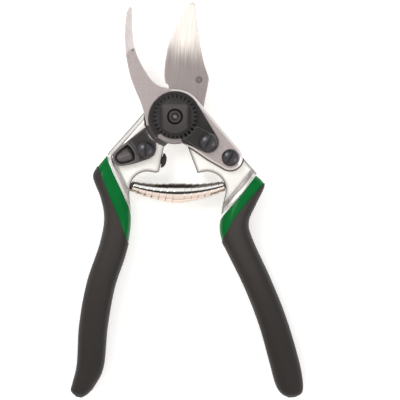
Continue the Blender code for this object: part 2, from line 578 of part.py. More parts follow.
cut(left_handle, catch_screw_hole, bumper_hole, stud("left_spring_stud", LEFT_SPRING_END, left_stud_way))

# ---- right handle: its head stands clear of the ear and blade, with the stop face --------------------------
right_inner = smooth_plan([(11.6, -29.1), (17.2, -28.2), (22.4, -30.2), (25.5, -34.0), (26.5, -38.5),
                           (25.4, -45.0), (24.4, -50.5)])
right_outline = (arc(HEAD_RADIUS, -8, -67, step=5) + right_inner
                 + [drawn(27.0, -51.0), drawn(44.0, -31.0), drawn(34.7, -20.4), drawn(20.3, -3.4)])
right_handle = plate("right_handle", right_outline, EAR_BOTTOM, HEAD_TOP, FORGED_ALUMINIUM)
cut(right_handle, right_below_head)
join(right_handle, right_collar, right_core)
cut(right_handle, screw_hole, hook_screw_hole, stud("right_spring_stud", RIGHT_SPRING_END, right_stud_way))
# Head, collar and core share faces, which only this solver joins at every size.
for handle in (left_handle, right_handle):
    for modifier in handle.modifiers:
        modifier.solver = "MANIFOLD"

# ---- thumb catch: horn against the hub, screw, and scoop for the thumb ------------------------------------
CATCH_EDGE_RADIUS = LUG_RADIUS + RUNNING_GAP
CATCH_EDGE_BULGE = 0.8 * MM
catch_edge = [polar(CATCH_EDGE_RADIUS + CATCH_EDGE_BULGE * math.sin(math.pi * t), 232 - 31.5 * t)
              for t in np.linspace(0, 1, 8)]
catch_outline = ([drawn(-15.7, -5.4), drawn(-24.6, -12.4)]
                 + smooth_plan([(-29.9, -16.6), (-32.2, -19.6), (-31.6, -23.6), (-28.4, -25.3), (-22.3, -24.5)])
                 + smooth_plan([(-13.2, -21.6), (-10.8, -19.6), (-9.7, -16.6)]) + catch_edge)
thumb_catch = plate("thumb_catch", catch_outline, HOOK_BOTTOM, CATCH_TOP, BLACK_STEEL)
scoop = plate("catch_scoop", smooth_plan([(-24.6, -15.0), (-22.4, -17.2), (-21.1, -20.0), (-21.2, -22.6)])
              + smooth_plan([(-23.6, -23.5), (-27.8, -24.0), (-30.3, -22.4), (-30.4, -19.8), (-28.2, -17.4)]),
              CATCH_TOP - CATCH_SCOOP_DEPTH, CATCH_TOP + GAP)
cut(thumb_catch, catch_screw_hole, scoop)
turned("catch_washer", ring(SCREW_SHANK_RADIUS + GAP, SCREW_HEAD_RADIUS - GAP, CATCH_TOP + GAP,
                            CATCH_TOP + GAP + SPRING_WASHER_THICKNESS), CATCH_PIVOT, BRONZE, steps=24)
catch_seat = CATCH_TOP + SPRING_WASHER_THICKNESS + 2 * GAP
slotted_screw("catch_screw", CATCH_PIVOT, catch_seat, 90, catch_seat - HEAD_TOP + SCREW_LENGTH)

# ---- volute spring: a flat strip wound into two cones that meet at their wide ends --------------------------
STRIP_SEGMENTS = 10               # to each turn


def spring_sections():
    """Cross-sections of the strip along its winding, about the bowed line between the studs."""
    middle = (LEFT_SPRING_END + RIGHT_SPRING_END) / 2
    centre = middle + Vector((-spring_chord.y, spring_chord.x)).normalized() * (bow_radius - SPRING_SAG)
    seat = GAP
    length = 2 * bow_radius * end_slope - 2 * seat
    half_strip = length / SPRING_TURNS * SPRING_STRIP_COVER / 2
    sections = []
    for share in np.linspace(0, 1, SPRING_TURNS * STRIP_SEGMENTS + 1):
        travel = half_strip + share * (length - 2 * half_strip)
        radius = SPRING_END_RADIUS + (SPRING_MIDDLE_RADIUS - SPRING_END_RADIUS) * (1 - abs(2 * share - 1))
        turn = 2 * math.pi * share * SPRING_TURNS
        section = []
        for shift, lift in ((-half_strip, 0), (half_strip, 0), (half_strip, -SPRING_STRIP),
                            (-half_strip, -SPRING_STRIP)):
            bow = (seat + travel + shift) / bow_radius - end_slope
            outward = Vector((math.sin(bow), -math.cos(bow), 0))
            axis_point = centre.to_3d() + outward * bow_radius + Vector((0, 0, SPRING_HEIGHT))
            spread = outward * math.cos(turn) + Vector((0, 0, 1)) * math.sin(turn)
            section.append(axis_point + spread * (radius + lift))
        sections.append(section)
    return sections


loft("volute_spring", spring_sections(), SPRING_CHROME)
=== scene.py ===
"""Bypass pruning shears lying open: forged aluminium handles with soft grips, a ground cutting blade,
a hooked counter blade, and the toothed nut, thumb catch and volute spring that go with them."""
import math

import bmesh
import bpy
import numpy as np
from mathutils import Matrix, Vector
from mathutils.bvhtree import BVHTree
from mathutils.geometry import delaunay_2d_cdt


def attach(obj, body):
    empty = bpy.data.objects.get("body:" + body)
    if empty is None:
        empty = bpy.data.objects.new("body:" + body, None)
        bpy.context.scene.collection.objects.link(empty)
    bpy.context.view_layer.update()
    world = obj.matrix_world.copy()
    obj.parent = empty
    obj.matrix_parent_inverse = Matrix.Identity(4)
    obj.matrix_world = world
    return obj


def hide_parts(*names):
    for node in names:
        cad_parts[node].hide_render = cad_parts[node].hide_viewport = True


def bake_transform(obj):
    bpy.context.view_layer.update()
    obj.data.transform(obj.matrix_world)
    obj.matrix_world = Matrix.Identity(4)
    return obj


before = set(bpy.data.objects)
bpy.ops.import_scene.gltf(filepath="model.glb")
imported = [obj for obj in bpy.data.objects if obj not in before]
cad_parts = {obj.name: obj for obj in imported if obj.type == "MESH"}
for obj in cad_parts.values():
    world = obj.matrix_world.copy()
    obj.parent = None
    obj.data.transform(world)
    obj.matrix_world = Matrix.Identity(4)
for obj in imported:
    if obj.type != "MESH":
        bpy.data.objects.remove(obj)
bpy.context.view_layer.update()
MM = 0.001

# ---- Studio ------------------------------------------------------------------------------------
# The shears lie on a pale table and are seen from straight above with a long lens. Two wide soft
# lights hang overhead with a narrow gap between them, and the far wall is dark low down, so bright
# metal mirrors white with thin dark lines.


class Flow:
    """What one node puts out, so that a pattern can be written as sums of such values."""

    def __init__(self, socket):
        self.socket, self.tree = socket, socket.id_data

    def math(self, operation, *others):
        return add(self.tree, "ShaderNodeMath", dict(enumerate((self, *others))), operation=operation)

    def fade(self, start, end, low=0.0, high=1.0):
        """A smooth step from low at start to high at end."""
        return add(self.tree, "ShaderNodeMapRange", {"Value": self, "From Min": start, "From Max": end,
                                                     "To Min": low, "To Max": high},
                   interpolation_type="SMOOTHSTEP")


for sign, operation in (("add", "ADD"), ("sub", "SUBTRACT"), ("mul", "MULTIPLY"), ("truediv", "DIVIDE"),
                        ("mod", "MODULO"), ("abs", "ABSOLUTE")):
    setattr(Flow, f"__{sign}__", lambda self, *other, operation=operation: self.math(operation, *other))


def plug(value, socket):
    """Links a node's output into a socket, or sets a plain value on it."""
    if isinstance(value, Flow):
        value.tree.links.new(value.socket, socket)
    else:
        socket.default_value = value


def node(tree, kind, inputs=None, **settings):
    """A node with its properties set and its inputs linked or given a value."""
    made = tree.nodes.new(kind)
    for name, value in settings.items():
        setattr(made, name, value)
    for name, value in (inputs or {}).items():
        plug(value, made.inputs[name])
    return made


def add(tree, kind, inputs=None, **settings):
    """What a new node puts out first."""
    return Flow(node(tree, kind, inputs, **settings).outputs[0])


def tint(share, first, second, blend="MIX"):
    """One colour mixed with another by a share."""
    tree = next(value.tree for value in (share, first, second) if isinstance(value, Flow))
    return Flow(node(tree, "ShaderNodeMix", {"Factor": share, 6: first, 7: second}, data_type="RGBA",
                     blend_type=blend).outputs[2])


def apart(vector):
    return [Flow(out) for out in node(vector.tree, "ShaderNodeSeparateXYZ", {0: vector}).outputs]


def stood(name, data):
    """A new object of this name in the scene."""
    made = bpy.data.objects.new(name, data)
    bpy.context.scene.collection.objects.link(made)
    return made


room = bpy.data.worlds.new("studio_room")
bpy.context.scene.world = room
room.use_nodes = True
air = room.node_tree
_, north, up = apart(add(air, "ShaderNodeTexCoord"))
gap_between = abs(north - -0.02).fade(0.035, 0.075, 0.05, 1.0).math("MAXIMUM", up.fade(0.9, 0.7))
brightness = up.fade(-0.1, 0.9, 0.78, 1.0) * gap_between * north.fade(0.80, 0.93, 1.0, 0.12)
warmth = tint(north.fade(-0.15, -0.6), (1.0, 1.0, 1.0, 1.0), (1.0, 0.93, 0.90, 1.0))
grey = add(air, "ShaderNodeCombineColor", {0: brightness, 1: brightness, 2: brightness})
plug(tint(1.0, warmth, grey, "MULTIPLY"), air.nodes["Background"].inputs["Color"])

for name, spot, size, power, colour in (
        ("key_light", (-0.55, 0.50, 0.85), 0.45, 5.0, (1.0, 0.99, 0.97)),
        ("fill_light", (0.80, -0.35, 0.70), 0.60, 2.5, (1.0, 0.98, 0.97))):
    lamp = bpy.data.lights.new(name, "AREA")
    lamp.size, lamp.energy, lamp.color = size, power, colour
    stand = stood(name, lamp)
    stand.location = spot
    stand.rotation_euler = (-Vector(spot)).to_track_quat("-Z", "Y").to_euler()

LENS, SENSOR = 300.0, 36.0
VIEW_WIDTH = 207.2 * MM
VIEW_CENTRE = (12.9 * MM, -43.0 * MM, 14.0 * MM)
lens = bpy.data.cameras.new("camera")
lens.lens, lens.sensor_width, lens.clip_end = LENS, SENSOR, 20.0
camera = stood("camera", lens)
camera.location = Vector(VIEW_CENTRE) + Vector((0, 0, VIEW_WIDTH / 2 * LENS / (SENSOR / 2)))
bpy.context.scene.camera = camera
bpy.context.scene.view_settings.view_transform = "Standard"


def feed(shader, **sockets):
    """Puts even values on the shader's own sockets, and links what changes over the surface."""
    for label, value in sockets.items():
        plug(value, shader.inputs[label.replace("_", " ")])


def material(name, **sockets):
    """A new material and its shader, with even values on the shader's sockets."""
    look = bpy.data.materials.new(name)
    look.use_nodes = True
    shader = look.node_tree.nodes["Principled BSDF"]
    feed(shader, **sockets)
    return look, shader


def spot_on(tree):
    """Where a point lies on its piece."""
    return Flow(node(tree, "ShaderNodeTexCoord").outputs["Object"])


def noise(tree, scale, detail):
    return add(tree, "ShaderNodeTexNoise", {"Vector": spot_on(tree), "Scale": scale, "Detail": detail})


bpy.ops.mesh.primitive_plane_add(size=4.0, location=(0, 0, -0.0001))
table = bpy.context.object
table.name = "table"
table_white, shader = material("table_white", Roughness=0.9, Emission_Color=(1.0, 1.0, 0.99, 1.0),
                               Emission_Strength=0.32)
flecks = noise(table_white.node_tree, 6.0, 3.0)
feed(shader, Base_Color=tint(flecks, (0.90, 0.90, 0.89, 1), (0.94, 0.94, 0.935, 1)))
table.data.materials.append(table_white)

# ---- Handle heads ---------------------------------------------------------------------------------
# Each handle is one aluminium forging, trimmed, bored, and shot-blasted to a pale satin. Its flat head
# has rounded rims, and a neck that swells up into the round body that the band and grip cover. The
# left head has the ear on the pivot and the platform for the catch, and the right head the stop face.


def fair(points, steps=8):
    """A smooth line through all the points, given in millimetres on the plan."""
    rows = [np.array(point, dtype=float) for point in points]
    rows = [2 * rows[0] - rows[1]] + rows + [2 * rows[-1] - rows[-2]]
    line = []
    for before, start, end, after in zip(rows, rows[1:], rows[2:], rows[3:]):
        for t in np.arange(steps) / steps:
            line.append((2 * t ** 3 - 3 * t ** 2 + 1) * start + (t ** 3 - 2 * t ** 2 + t) * (end - before) / 2
                        + (3 * t ** 2 - 2 * t ** 3) * end + (t ** 3 - t ** 2) * (after - start) / 2)
    return line + [rows[-2]]


def sweep(radius, start, end, centre=(0.0, 0.0), step=3.0):
    """Points of an arc between two angles in degrees, both ends included."""
    turns = np.radians(np.linspace(start, end, max(2, round(abs(end - start) / step) + 1)))
    return [np.array((centre[0] + radius * math.cos(turn), centre[1] + radius * math.sin(turn)))
            for turn in turns]


def at(radius, turn):
    """One point at an angle in degrees round the pivot."""
    return sweep(radius, turn, turn)[0]


def even(points, spacing, closed=True):
    """The line with extra points wherever two neighbours are further apart than the spacing."""
    rows = [np.array(point, dtype=float)[:2] for point in points]
    filled = []
    for start, end in zip(rows, rows[1:] + rows[:1] if closed else rows[1:]):
        reach = np.linalg.norm(end - start)
        if reach < 1e-4:
            continue
        count = max(1, math.ceil(reach / spacing))
        filled += [start + (end - start) * i / count for i in range(count)]
    return np.array(filled if closed else filled + [rows[-1]])


def distance(points, line, closed=False):
    """How far each point is from a line, in millimetres."""
    line = np.array(line, dtype=float)
    starts, ends = (line, np.roll(line, -1, axis=0)) if closed else (line[:-1], line[1:])
    nearest = np.full(len(points), 1e9)
    for start, end in zip(starts, ends):
        along = end - start
        share = np.clip((points - start) @ along / max(along @ along, 1e-12), 0, 1)
        nearest = np.minimum(nearest, ((points - start - share[:, None] * along) ** 2).sum(1))
    return np.sqrt(nearest)


def away(points, spot):
    """How far each point is from one spot, in millimetres."""
    return np.hypot(points[:, 0] - spot[0], points[:, 1] - spot[1])


def within(points, loop):
    """Whether each point is inside the loop."""
    crossings = np.zeros(len(points), dtype=int)
    x, y = points[:, 0], points[:, 1]
    for (x1, y1), (x2, y2) in zip(loop, np.roll(loop, -1, axis=0)):
        if y1 != y2:
            crossings += ((y1 > y) != (y2 > y)) & (x < (x2 - x1) * (y - y1) / (y2 - y1) + x1)
    return crossings % 2 == 1


def rounding(edge, radius):
    """How far a quarter-round rim has dropped at each distance from the edge."""
    inward = np.clip(radius - edge, 0, radius)
    return radius - np.sqrt(radius ** 2 - inward ** 2)


def step_up(value, start, end):
    """A smooth step from 0 at start to 1 at end, on an array."""
    t = np.clip((value - start) / (end - start), 0, 1)
    return t * t * (3 - 2 * t)


def bell(reach, width):
    """1 at no reach, falling off smoothly either side over the width."""
    return np.exp(-(reach / width) ** 2)


def squared(along):
    """The sideways direction at each step of a line."""
    return np.stack((-along[:, 1], along[:, 0]), 1) / np.linalg.norm(along, axis=1)[:, None]


RIM_STEPS = np.array((0.05, 0.16, 0.34, 0.6, 1.0))


def forged(name, outline, top, bottom, rim=0.8, cell=1.2, spacing=0.6, extra=(), shade=None):
    """A closed plate skinned over its outline. top and bottom give heights from the plan points and
    their distances from the nearest edge, all in millimetres; shade gives a lighter or darker tone."""
    loop = even(outline, spacing)
    if (loop[:, 0] * np.roll(loop[:, 1], -1) - np.roll(loop[:, 0], -1) * loop[:, 1]).sum() < 0:
        loop = loop[::-1]
    inward = squared(np.roll(loop, -1, axis=0) - np.roll(loop, 1, axis=0))
    inner = []
    for inset in RIM_STEPS * rim:
        ring = loop + inward * inset
        inner.append(ring[distance(ring, loop, True) > inset * 0.93])
    low, high = loop.min(0), loop.max(0)
    rows = np.arange(low[1], high[1], cell * 0.866)
    grid = np.array([(x + (i % 2) * cell / 2, y) for i, y in enumerate(rows)
                     for x in np.arange(low[0], high[0], cell)])
    grid = grid[distance(grid, loop, True) > rim + cell * 0.4]
    if len(extra):
        extra = np.array(extra, dtype=float)
        crowded = np.min(((grid[:, None] - extra[None]) ** 2).sum(2), axis=1) < (cell * 0.45) ** 2
        inner += [grid[~crowded], extra[distance(extra, loop, True) > rim * 0.3]]
    else:
        inner.append(grid)
    inner = np.concatenate(inner)
    points = np.concatenate((loop, inner[within(inner, loop)]))
    border = [(i, (i + 1) % len(loop)) for i in range(len(loop))]
    flat, _, faces, *_ = delaunay_2d_cdt([Vector(p) for p in points], border, [], 0, 1e-5)
    flat = np.array([tuple(p) for p in flat])
    faces = np.array([face for face in faces if len(face) == 3])
    a, b, c = flat[faces[:, 0]], flat[faces[:, 1]], flat[faces[:, 2]]
    turning = (b[:, 0] - a[:, 0]) * (c[:, 1] - a[:, 1]) - (b[:, 1] - a[:, 1]) * (c[:, 0] - a[:, 0])
    faces[turning < 0] = faces[turning < 0][:, ::-1]
    faces = faces[within((a + b + c) / 3, loop) & (abs(turning) > 1e-9)]
    edge = distance(flat, loop, True)
    count = len(flat)
    skins = [np.column_stack((flat, height(flat, edge))) * MM for height in (top, bottom)]
    sides = {(face[i], face[(i + 1) % 3]) for face in faces.tolist() for i in range(3)}
    walls = [(b, a, a + count, b + count) for a, b in sides if (b, a) not in sides]
    mesh = bpy.data.meshes.new(name)
    mesh.from_pydata(np.concatenate(skins).tolist(), [],
                     faces.tolist() + (faces[:, ::-1] + count).tolist() + walls)
    tones = shade(flat, edge) if shade else np.zeros(count)
    marked(mesh, "rim_distance", np.concatenate((edge, edge)))
    marked(mesh, "tone_shift", np.concatenate((tones, tones * 0)))
    return standing(name, mesh)


def marked(mesh, label, values):
    """Stores one number for each point of a mesh."""
    values = np.array(values, dtype=np.float32)
    mesh.attributes.new(label, "FLOAT", "POINT").data.foreach_set("value", values)


SMOOTH_UNDER = math.radians(38)


def smoothed(mesh):
    mesh.shade_smooth()
    mesh.set_sharp_from_angle(angle=SMOOTH_UNDER)


def meshed(shape, name):
    """The worked shape as a mesh of its own."""
    mesh = bpy.data.meshes.new(name)
    shape.to_mesh(mesh)
    shape.free()
    return mesh


def standing(name, mesh):
    """A new object with its place in its mesh, no loose points, and smooth shading up to an angle."""
    shape = bmesh.new()
    shape.from_mesh(mesh)
    bmesh.ops.delete(shape, geom=[v for v in shape.verts if not v.link_faces], context="VERTS")
    shape.to_mesh(mesh)
    shape.free()
    smoothed(mesh)
    return stood(name, mesh)


def settled(made):
    """The object with its modifiers' result as its plain mesh."""
    bpy.context.view_layer.update()
    mesh = bpy.data.meshes.new_from_object(made.evaluated_get(bpy.context.evaluated_depsgraph_get()))
    made.modifiers.clear()
    made.data = mesh
    mesh.name = made.name
    smoothed(mesh)
    return made


def cut_away(piece, *solids):
    """Cuts the solids out of the piece and removes them."""
    for solid in solids:
        cutting = piece.modifiers.new("cut", "BOOLEAN")
        cutting.object, cutting.operation, cutting.solver = solid, "DIFFERENCE", "EXACT"
    settled(piece)
    for solid in solids:
        bpy.data.objects.remove(solid, do_unlink=True)


def drum(radius, low, high, centre=(0.0, 0.0), sides=96):
    """A plain round cutter standing between two heights, in millimetres."""
    shape = bmesh.new()
    bmesh.ops.create_cone(shape, cap_ends=True, segments=sides, radius1=radius * MM, radius2=radius * MM,
                          depth=(high - low) * MM)
    bmesh.ops.translate(shape, verts=shape.verts,
                        vec=(centre[0] * MM, centre[1] * MM, (low + high) / 2 * MM))
    return stood("drum", meshed(shape, "drum"))


def fitted(piece, look, body, slot, *cad_nodes):
    """Gives a finished piece its material, its body, and the plain piece it stands for."""
    piece.data.materials.clear()
    piece.data.materials.append(look)
    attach(piece, body)
    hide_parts(*cad_nodes)


def outputs(made):
    return {out.name: Flow(out) for out in made.outputs}


def effect(name, makes, **sizes):
    """An empty shader node group with named number inputs, and outputs for what it makes."""
    group = bpy.data.node_groups.new(name, "ShaderNodeTree")
    for label, value in sizes.items():
        group.interface.new_socket(label, in_out="INPUT", socket_type="NodeSocketFloat").default_value = value
    for label in makes:
        group.interface.new_socket(label, in_out="OUTPUT", socket_type="NodeSocketFloat")
    return group, outputs(group.nodes.new("NodeGroupInput")), group.nodes.new("NodeGroupOutput").inputs


def placed(tree, group, **inputs):
    """A shader node group in a material, with this material's own values."""
    return outputs(node(tree, "ShaderNodeGroup", inputs, node_tree=group))


def attribute(tree, label):
    return Flow(node(tree, "ShaderNodeAttribute", attribute_name=label).outputs["Fac"])


# Worn and shaded rims: 1 on an edge, broken up by noise, and 0 inside. On the steel pieces it marks edges that
# handling has worn; on the aluminium it carries painted shade along the rims.
rim_wear_and_shade_mask, given, out = effect("rim_wear_and_shade_mask", ["Wear"], Width=0.5, Patchiness=0.5, Scale=300.0)
patches = noise(rim_wear_and_shade_mask, given["Scale"], 3.0)
width = given["Width"] * ((patches - 0.5) * (given["Patchiness"] * 4.0) + 1.0)
plug((attribute(rim_wear_and_shade_mask, "rim_distance") / width.math("MAXIMUM", 0.02)).fade(1.0, 0.35), out["Wear"])

# Blasted grain: slow clouds of tone, and a fine even pitting for bumps.
blasted_grain, given, out = effect("blasted_grain", ["Tone", "Pitting"], Clouds=60.0, Grain=1500.0)
plug(noise(blasted_grain, given["Clouds"], 4.0), out["Tone"])
plug(noise(blasted_grain, given["Grain"], 2.0), out["Pitting"])

# Tone shift: where a face is painted darker or lighter, mostly as painted shade and painted highlight, and in a few
# places as a real mark such as the blade's struck ring.
tone_shift, given, out = effect("tone_shift", ["Dark", "Light"])
shift = attribute(tone_shift, "tone_shift")
plug((shift * -1.0).math("MAXIMUM", 0.0), out["Dark"])
plug(shift.math("MAXIMUM", 0.0), out["Light"])


def bumped(shader, height, depth, strength):
    feed(shader, Normal=add(height.tree, "ShaderNodeBump", {"Height": height, "Distance": depth * MM,
                                                            "Strength": strength}))


def shaded(name, roughness, metallic, clouds, grain, pitting=None, **sockets):
    """A material with its even values set, its grain's pitting as bumps, and its grain's tone to use."""
    look, shader = material(name, Roughness=roughness, Metallic=metallic, **sockets)
    grained = placed(look.node_tree, blasted_grain, Clouds=clouds, Grain=grain)
    if pitting:
        bumped(shader, grained["Pitting"], *pitting)
    return look, shader, grained["Tone"]


def rim_wear_and_shade(colour, share, rim_colour, width, patchiness, scale):
    """The colour, mixed towards another on the rims: plain metal showing through where the steel's rims are worn, and
    painted shade on the aluminium's rims.
    """
    rim_share = placed(colour.tree, rim_wear_and_shade_mask, Width=width, Patchiness=patchiness, Scale=scale)["Wear"]
    return tint(rim_share * share, colour, rim_colour)


def painted_light_and_marks(colour, darkest, lightest=None):
    """The colour, shifted where the piece's own tones say so: mostly painted shade and painted highlight, and some
    real marks.
    """
    shifts = placed(colour.tree, tone_shift)
    if lightest:
        colour = tint(shifts["Light"], colour, lightest)
    return tint(shifts["Dark"], colour, darkest)


satin_aluminium, shader, cloud = shaded("satin_aluminium", 0.42, 0.65, 70.0, 1800.0, (0.03, 0.5),
                                        Specular_IOR_Level=0.4)
# The grey mixed in on the aluminium's rims is painted shade.
pale = rim_wear_and_shade(tint(cloud, (0.93, 0.91, 0.865, 1), (0.98, 0.96, 0.915, 1)), 0.5, (0.60, 0.56, 0.55, 1),
              0.9, 0.25, 250.0)
feed(shader, Base_Color=painted_light_and_marks(pale, (0.10, 0.09, 0.09, 1)), Roughness=cloud.fade(0.3, 0.7, 0.36, 0.46))

EAR_BOTTOM, EAR_TOP, HEAD_TOP = 4.3, 8.3, 11.4
HEAD_CLEAR_RADIUS, EAR_RADIUS = 16.2, 13.8
BUSH_BORE, PIN_BORE, SCREW_BORE = 6.7, 1.9, 2.7
SCREW_HOLE_BOTTOM = HEAD_TOP - 6.6
BELOW, ABOVE = -5, 30                   # where a cutter is clear of every piece
HEAD_RIM = 1.1
RIDGE_WIDTH, SLOPE_END = 1.5, 3.6       # across the neck, from the band's seam
BODY_SQUARENESS = 2.5
BODY_LOW, BODY_HIGH = (-54.2, -145.5, 0.0), (66.46, 60.0, 19.0)
# Each section down a handle: its outer and inner point on the plan, its lowest and its highest height.
LEFT_BODY = [(-29.5, -12.8, -22.0, -30.5, 5.0, 10.6), (-36.5, -20.6, -23.6, -36.5, 3.0, 14.6),
             (-41.0, -26.4, -23.6, -40.5, 1.8, 16.8), (-42.6, -31.5, -23.1, -46.0, 0.9, 18.0),
             (-38.6, -42.2, -22.6, -53.0, 0.3, 18.7), (-36.9, -53.0, -23.3, -61.5, 0.0, 19.0),
             (-39.4, -66.3, -25.9, -72.5, 0.0, 19.0), (-45.9, -85.6, -31.3, -88.7, 0.3, 18.7),
             (-49.9, -107.5, -34.9, -108.6, 0.5, 18.5), (-51.1, -128.0, -37.0, -129.4, 0.5, 18.5),
             (-53.4, -138.0, -41.5, -139.2, 1.0, 18.0), (-54.2, -142.0, -45.2, -143.6, 2.3, 16.7),
             (-51.6, -145.0, -48.2, -145.5, 6.0, 13.0)]
RIGHT_BODY = [(35.8, -22.0, 24.8, -33.0, 5.0, 10.6), (41.6, -29.2, 26.4, -38.5, 3.0, 14.6),
              (45.2, -32.6, 25.6, -42.5, 1.8, 16.8), (46.4, -36.0, 24.6, -48.0, 0.9, 18.0),
              (42.0, -45.4, 22.7, -56.0, 0.3, 18.7), (38.3, -54.5, 23.7, -63.5, 0.0, 19.0),
              (40.4, -63.6, 27.6, -71.5, 0.0, 19.0), (49.4, -83.2, 36.2, -89.2, 0.3, 18.7),
              (57.7, -103.9, 43.6, -108.4, 0.5, 18.5), (64.2, -125.8, 48.9, -127.3, 0.5, 18.5),
              (66.3, -137.0, 52.0, -138.6, 1.0, 18.0), (66.0, -142.8, 55.0, -143.4, 2.3, 16.7),
              (63.0, -145.1, 58.6, -145.5, 6.0, 13.0)]


def handle_rings(sections, inset, steps=9, sides=80):
    """Rounded cross-sections down a handle, drawn in from its full size by the inset."""
    turns = np.linspace(0, 2 * math.pi, sides, endpoint=False)
    across, upward = (np.sign(way) * abs(way) ** (2 / BODY_SQUARENESS) for way in (np.cos(turns), np.sin(turns)))
    rings = []
    for row in fair(sections, steps):
        half = (row[0:2] - row[2:4]) / 2
        half = half * (1 - min(inset / np.linalg.norm(half), 0.9))
        middle = (row[0:2] + row[2:4]) / 2
        half_height = max((row[5] - row[4]) / 2 - inset, 0.3)
        ring = np.column_stack((middle[0] + half[0] * across, middle[1] + half[1] * across,
                                (row[4] + row[5]) / 2 + half_height * upward))
        rings.append(np.clip(ring, BODY_LOW, BODY_HIGH))
    return rings


def lofted(name, rings, tones=None):
    """A closed skin over rings of points in millimetres, with flat ends and a tone for each point."""
    sides, count = len(rings[0]), len(rings)
    faces = [(r * sides + i, r * sides + (i + 1) % sides, (r + 1) * sides + (i + 1) % sides, (r + 1) * sides + i)
             for r in range(count - 1) for i in range(sides)]
    faces += [tuple(range(sides))[::-1], tuple(range((count - 1) * sides, count * sides))]
    mesh = bpy.data.meshes.new(name)
    mesh.from_pydata((np.concatenate(rings) * MM).tolist(), [], faces)
    if tones is not None:
        marked(mesh, "tone_shift", tones)
    shape = bmesh.new()
    shape.from_mesh(mesh)
    bmesh.ops.recalc_face_normals(shape, faces=shape.faces)
    shape.to_mesh(mesh)
    shape.free()
    return standing(name, mesh)


def swell(points, body, seam, way, face, room=None):
    """How far the neck's rounded body stands out past one flat face of the head."""
    most = 7.5 * (1 - step_up(distance(points, seam), RIDGE_WIDTH, SLOPE_END))
    if room:
        most *= step_up(away(points, room), room[2], room[2] + 0.7)
    stands = np.zeros(len(points))
    for i in np.nonzero(most > 0.01)[0]:
        hit = body.ray_cast(Vector((points[i, 0] * MM, points[i, 1] * MM, way * 0.1)), Vector((0, 0, -way)))
        if hit[0]:
            stands[i] = np.clip(way * (hit[0].z / MM - face), 0, most[i])
    return stands


def beside(line, offsets):
    """Points along a line, moved square to it by each of the offsets."""
    line = even(line, 0.5, closed=False)
    sideways = squared(np.gradient(line, axis=0))
    return [point for offset in offsets for point in line + sideways * offset]


def head(name, free_edge, seam, sections, shape_top, shade_top, slope_shade, extra, room=None):
    """One forged head: platform, rounded rims, and the neck's ridge beside the band."""
    neck_body = lofted(name + "_neck", handle_rings(sections, 0.5))
    tree = BVHTree.FromObject(neck_body, bpy.context.evaluated_depsgraph_get())
    bpy.data.objects.remove(neck_body, do_unlink=True)
    free_edge, seam = np.array(free_edge), np.array(seam)

    def top(points, edge):
        lifted = swell(points, tree, seam, 1, HEAD_TOP, room)
        return (HEAD_TOP + lifted - rounding(distance(points, free_edge), HEAD_RIM) - rounding(edge, 0.25)
                - shape_top(points))

    def bottom(points, edge):
        lifted = swell(points, tree, seam, -1, EAR_BOTTOM)
        return EAR_BOTTOM - lifted + rounding(distance(points, free_edge), HEAD_RIM) + rounding(edge, 0.25)

    # Painted shade on the steep slope up to the neck's ridge, a little on the ridge, and along the rounded rims,
    # joined with each head's own painted shade.
    def shade(points, edge):
        reach = distance(points, seam)
        slope = step_up(reach, RIDGE_WIDTH - 0.5, RIDGE_WIDTH) * step_up(reach, SLOPE_END + 0.5, SLOPE_END)
        ridge = 0.2 * step_up(reach, RIDGE_WIDTH, RIDGE_WIDTH - 0.5)
        rim = 0.72 * step_up(distance(points, free_edge), HEAD_RIM + 0.8, 0.3)
        return -np.max((slope_shade * slope, ridge, rim, shade_top(points)), axis=0)

    side = -1 if seam[0][0] < 0 else 1
    slope_points = beside(seam, [side * offset for offset in np.arange(0.4, SLOPE_END + 0.5, 0.35)])
    return forged(name, list(free_edge) + list(seam)[1:-1], top, bottom, rim=HEAD_RIM, cell=0.9,
                  spacing=0.5, extra=slope_points + extra, shade=shade)


CATCH_PIVOT = (-15.3, -17.1)
CATCH_ROOM = 18.0
PIN_SPOT = at(10.1, 150)
BUMPER_SPOT, NOSE_WAY = (-7.15, -22.31, 7.85), (0.9815, -0.1917, 0.0)
SPRING_LEFT, SPRING_RIGHT, SPRING_HEIGHT = (-23.0, -35.6), (25.4, -35.6), 7.85
SPRING_BOW, SPRING_SLOPE = 80.99, math.radians(17.39)
STUD_BORE = 2.0

left_inner = fair([(-10.0, -28.9), (-15.1, -28.2), (-19.6, -29.8), (-22.6, -33.2), (-23.8, -38.7),
                   (-23.3, -46.0), (-23.0, -49.6)])
left_seam = [(-23.0, -49.6), (-23.76, -46.44), (-26.86, -39.94), (-31.66, -29.94), (-34.46, -22.94),
             (-35.1, -18.9)]
left_outer = [np.array((-35.1, -18.9)), np.array((-10.26, 9.23))]
left_free = (left_outer + sweep(EAR_RADIUS, 138, -105) + [np.array((-5.8, -15.4)), np.array((-8.3, -28.2))]
             + left_inner)


def left_platform(points):
    """The trimmed outer edge: a sloping flat with a shallow scribed groove along its inside."""
    reach = distance(points, left_outer)
    return 0.14 * np.clip(2.3 - reach, 0, 2.3) + 0.20 * bell(reach - 2.75, 0.4)


def left_painted_shade(points):
    """Painted shade on the outer flat and more at its edge, and darker painted shade in the groove beside it."""
    reach = distance(points, left_outer)
    return 0.36 * step_up(reach, 2.6, 2.0) + 0.4 * step_up(reach, 1.5, 0.8) + 0.4 * bell(reach - 2.75, 0.5)


room_rings = [p for radius in (17.8, 18.0, 18.2, 18.4, 18.6, 18.8) for p in sweep(radius, 150, 240, CATCH_PIVOT, 2.0)]
left_head = head("left_forged_head", left_free, left_seam, LEFT_BODY, left_platform, left_painted_shade, 0.52,
                 beside(left_outer, np.arange(-0.5, -3.6, -0.25)) + room_rings, (*CATCH_PIVOT, CATCH_ROOM))


def leaning(solid, base, way):
    """A solid made upright on the origin, laid along a direction from its base."""
    turn = Vector(way).to_track_quat("Z", "Y").to_matrix().to_4x4()
    turn.translation = Vector(base) * MM
    solid.data.transform(turn)
    return solid


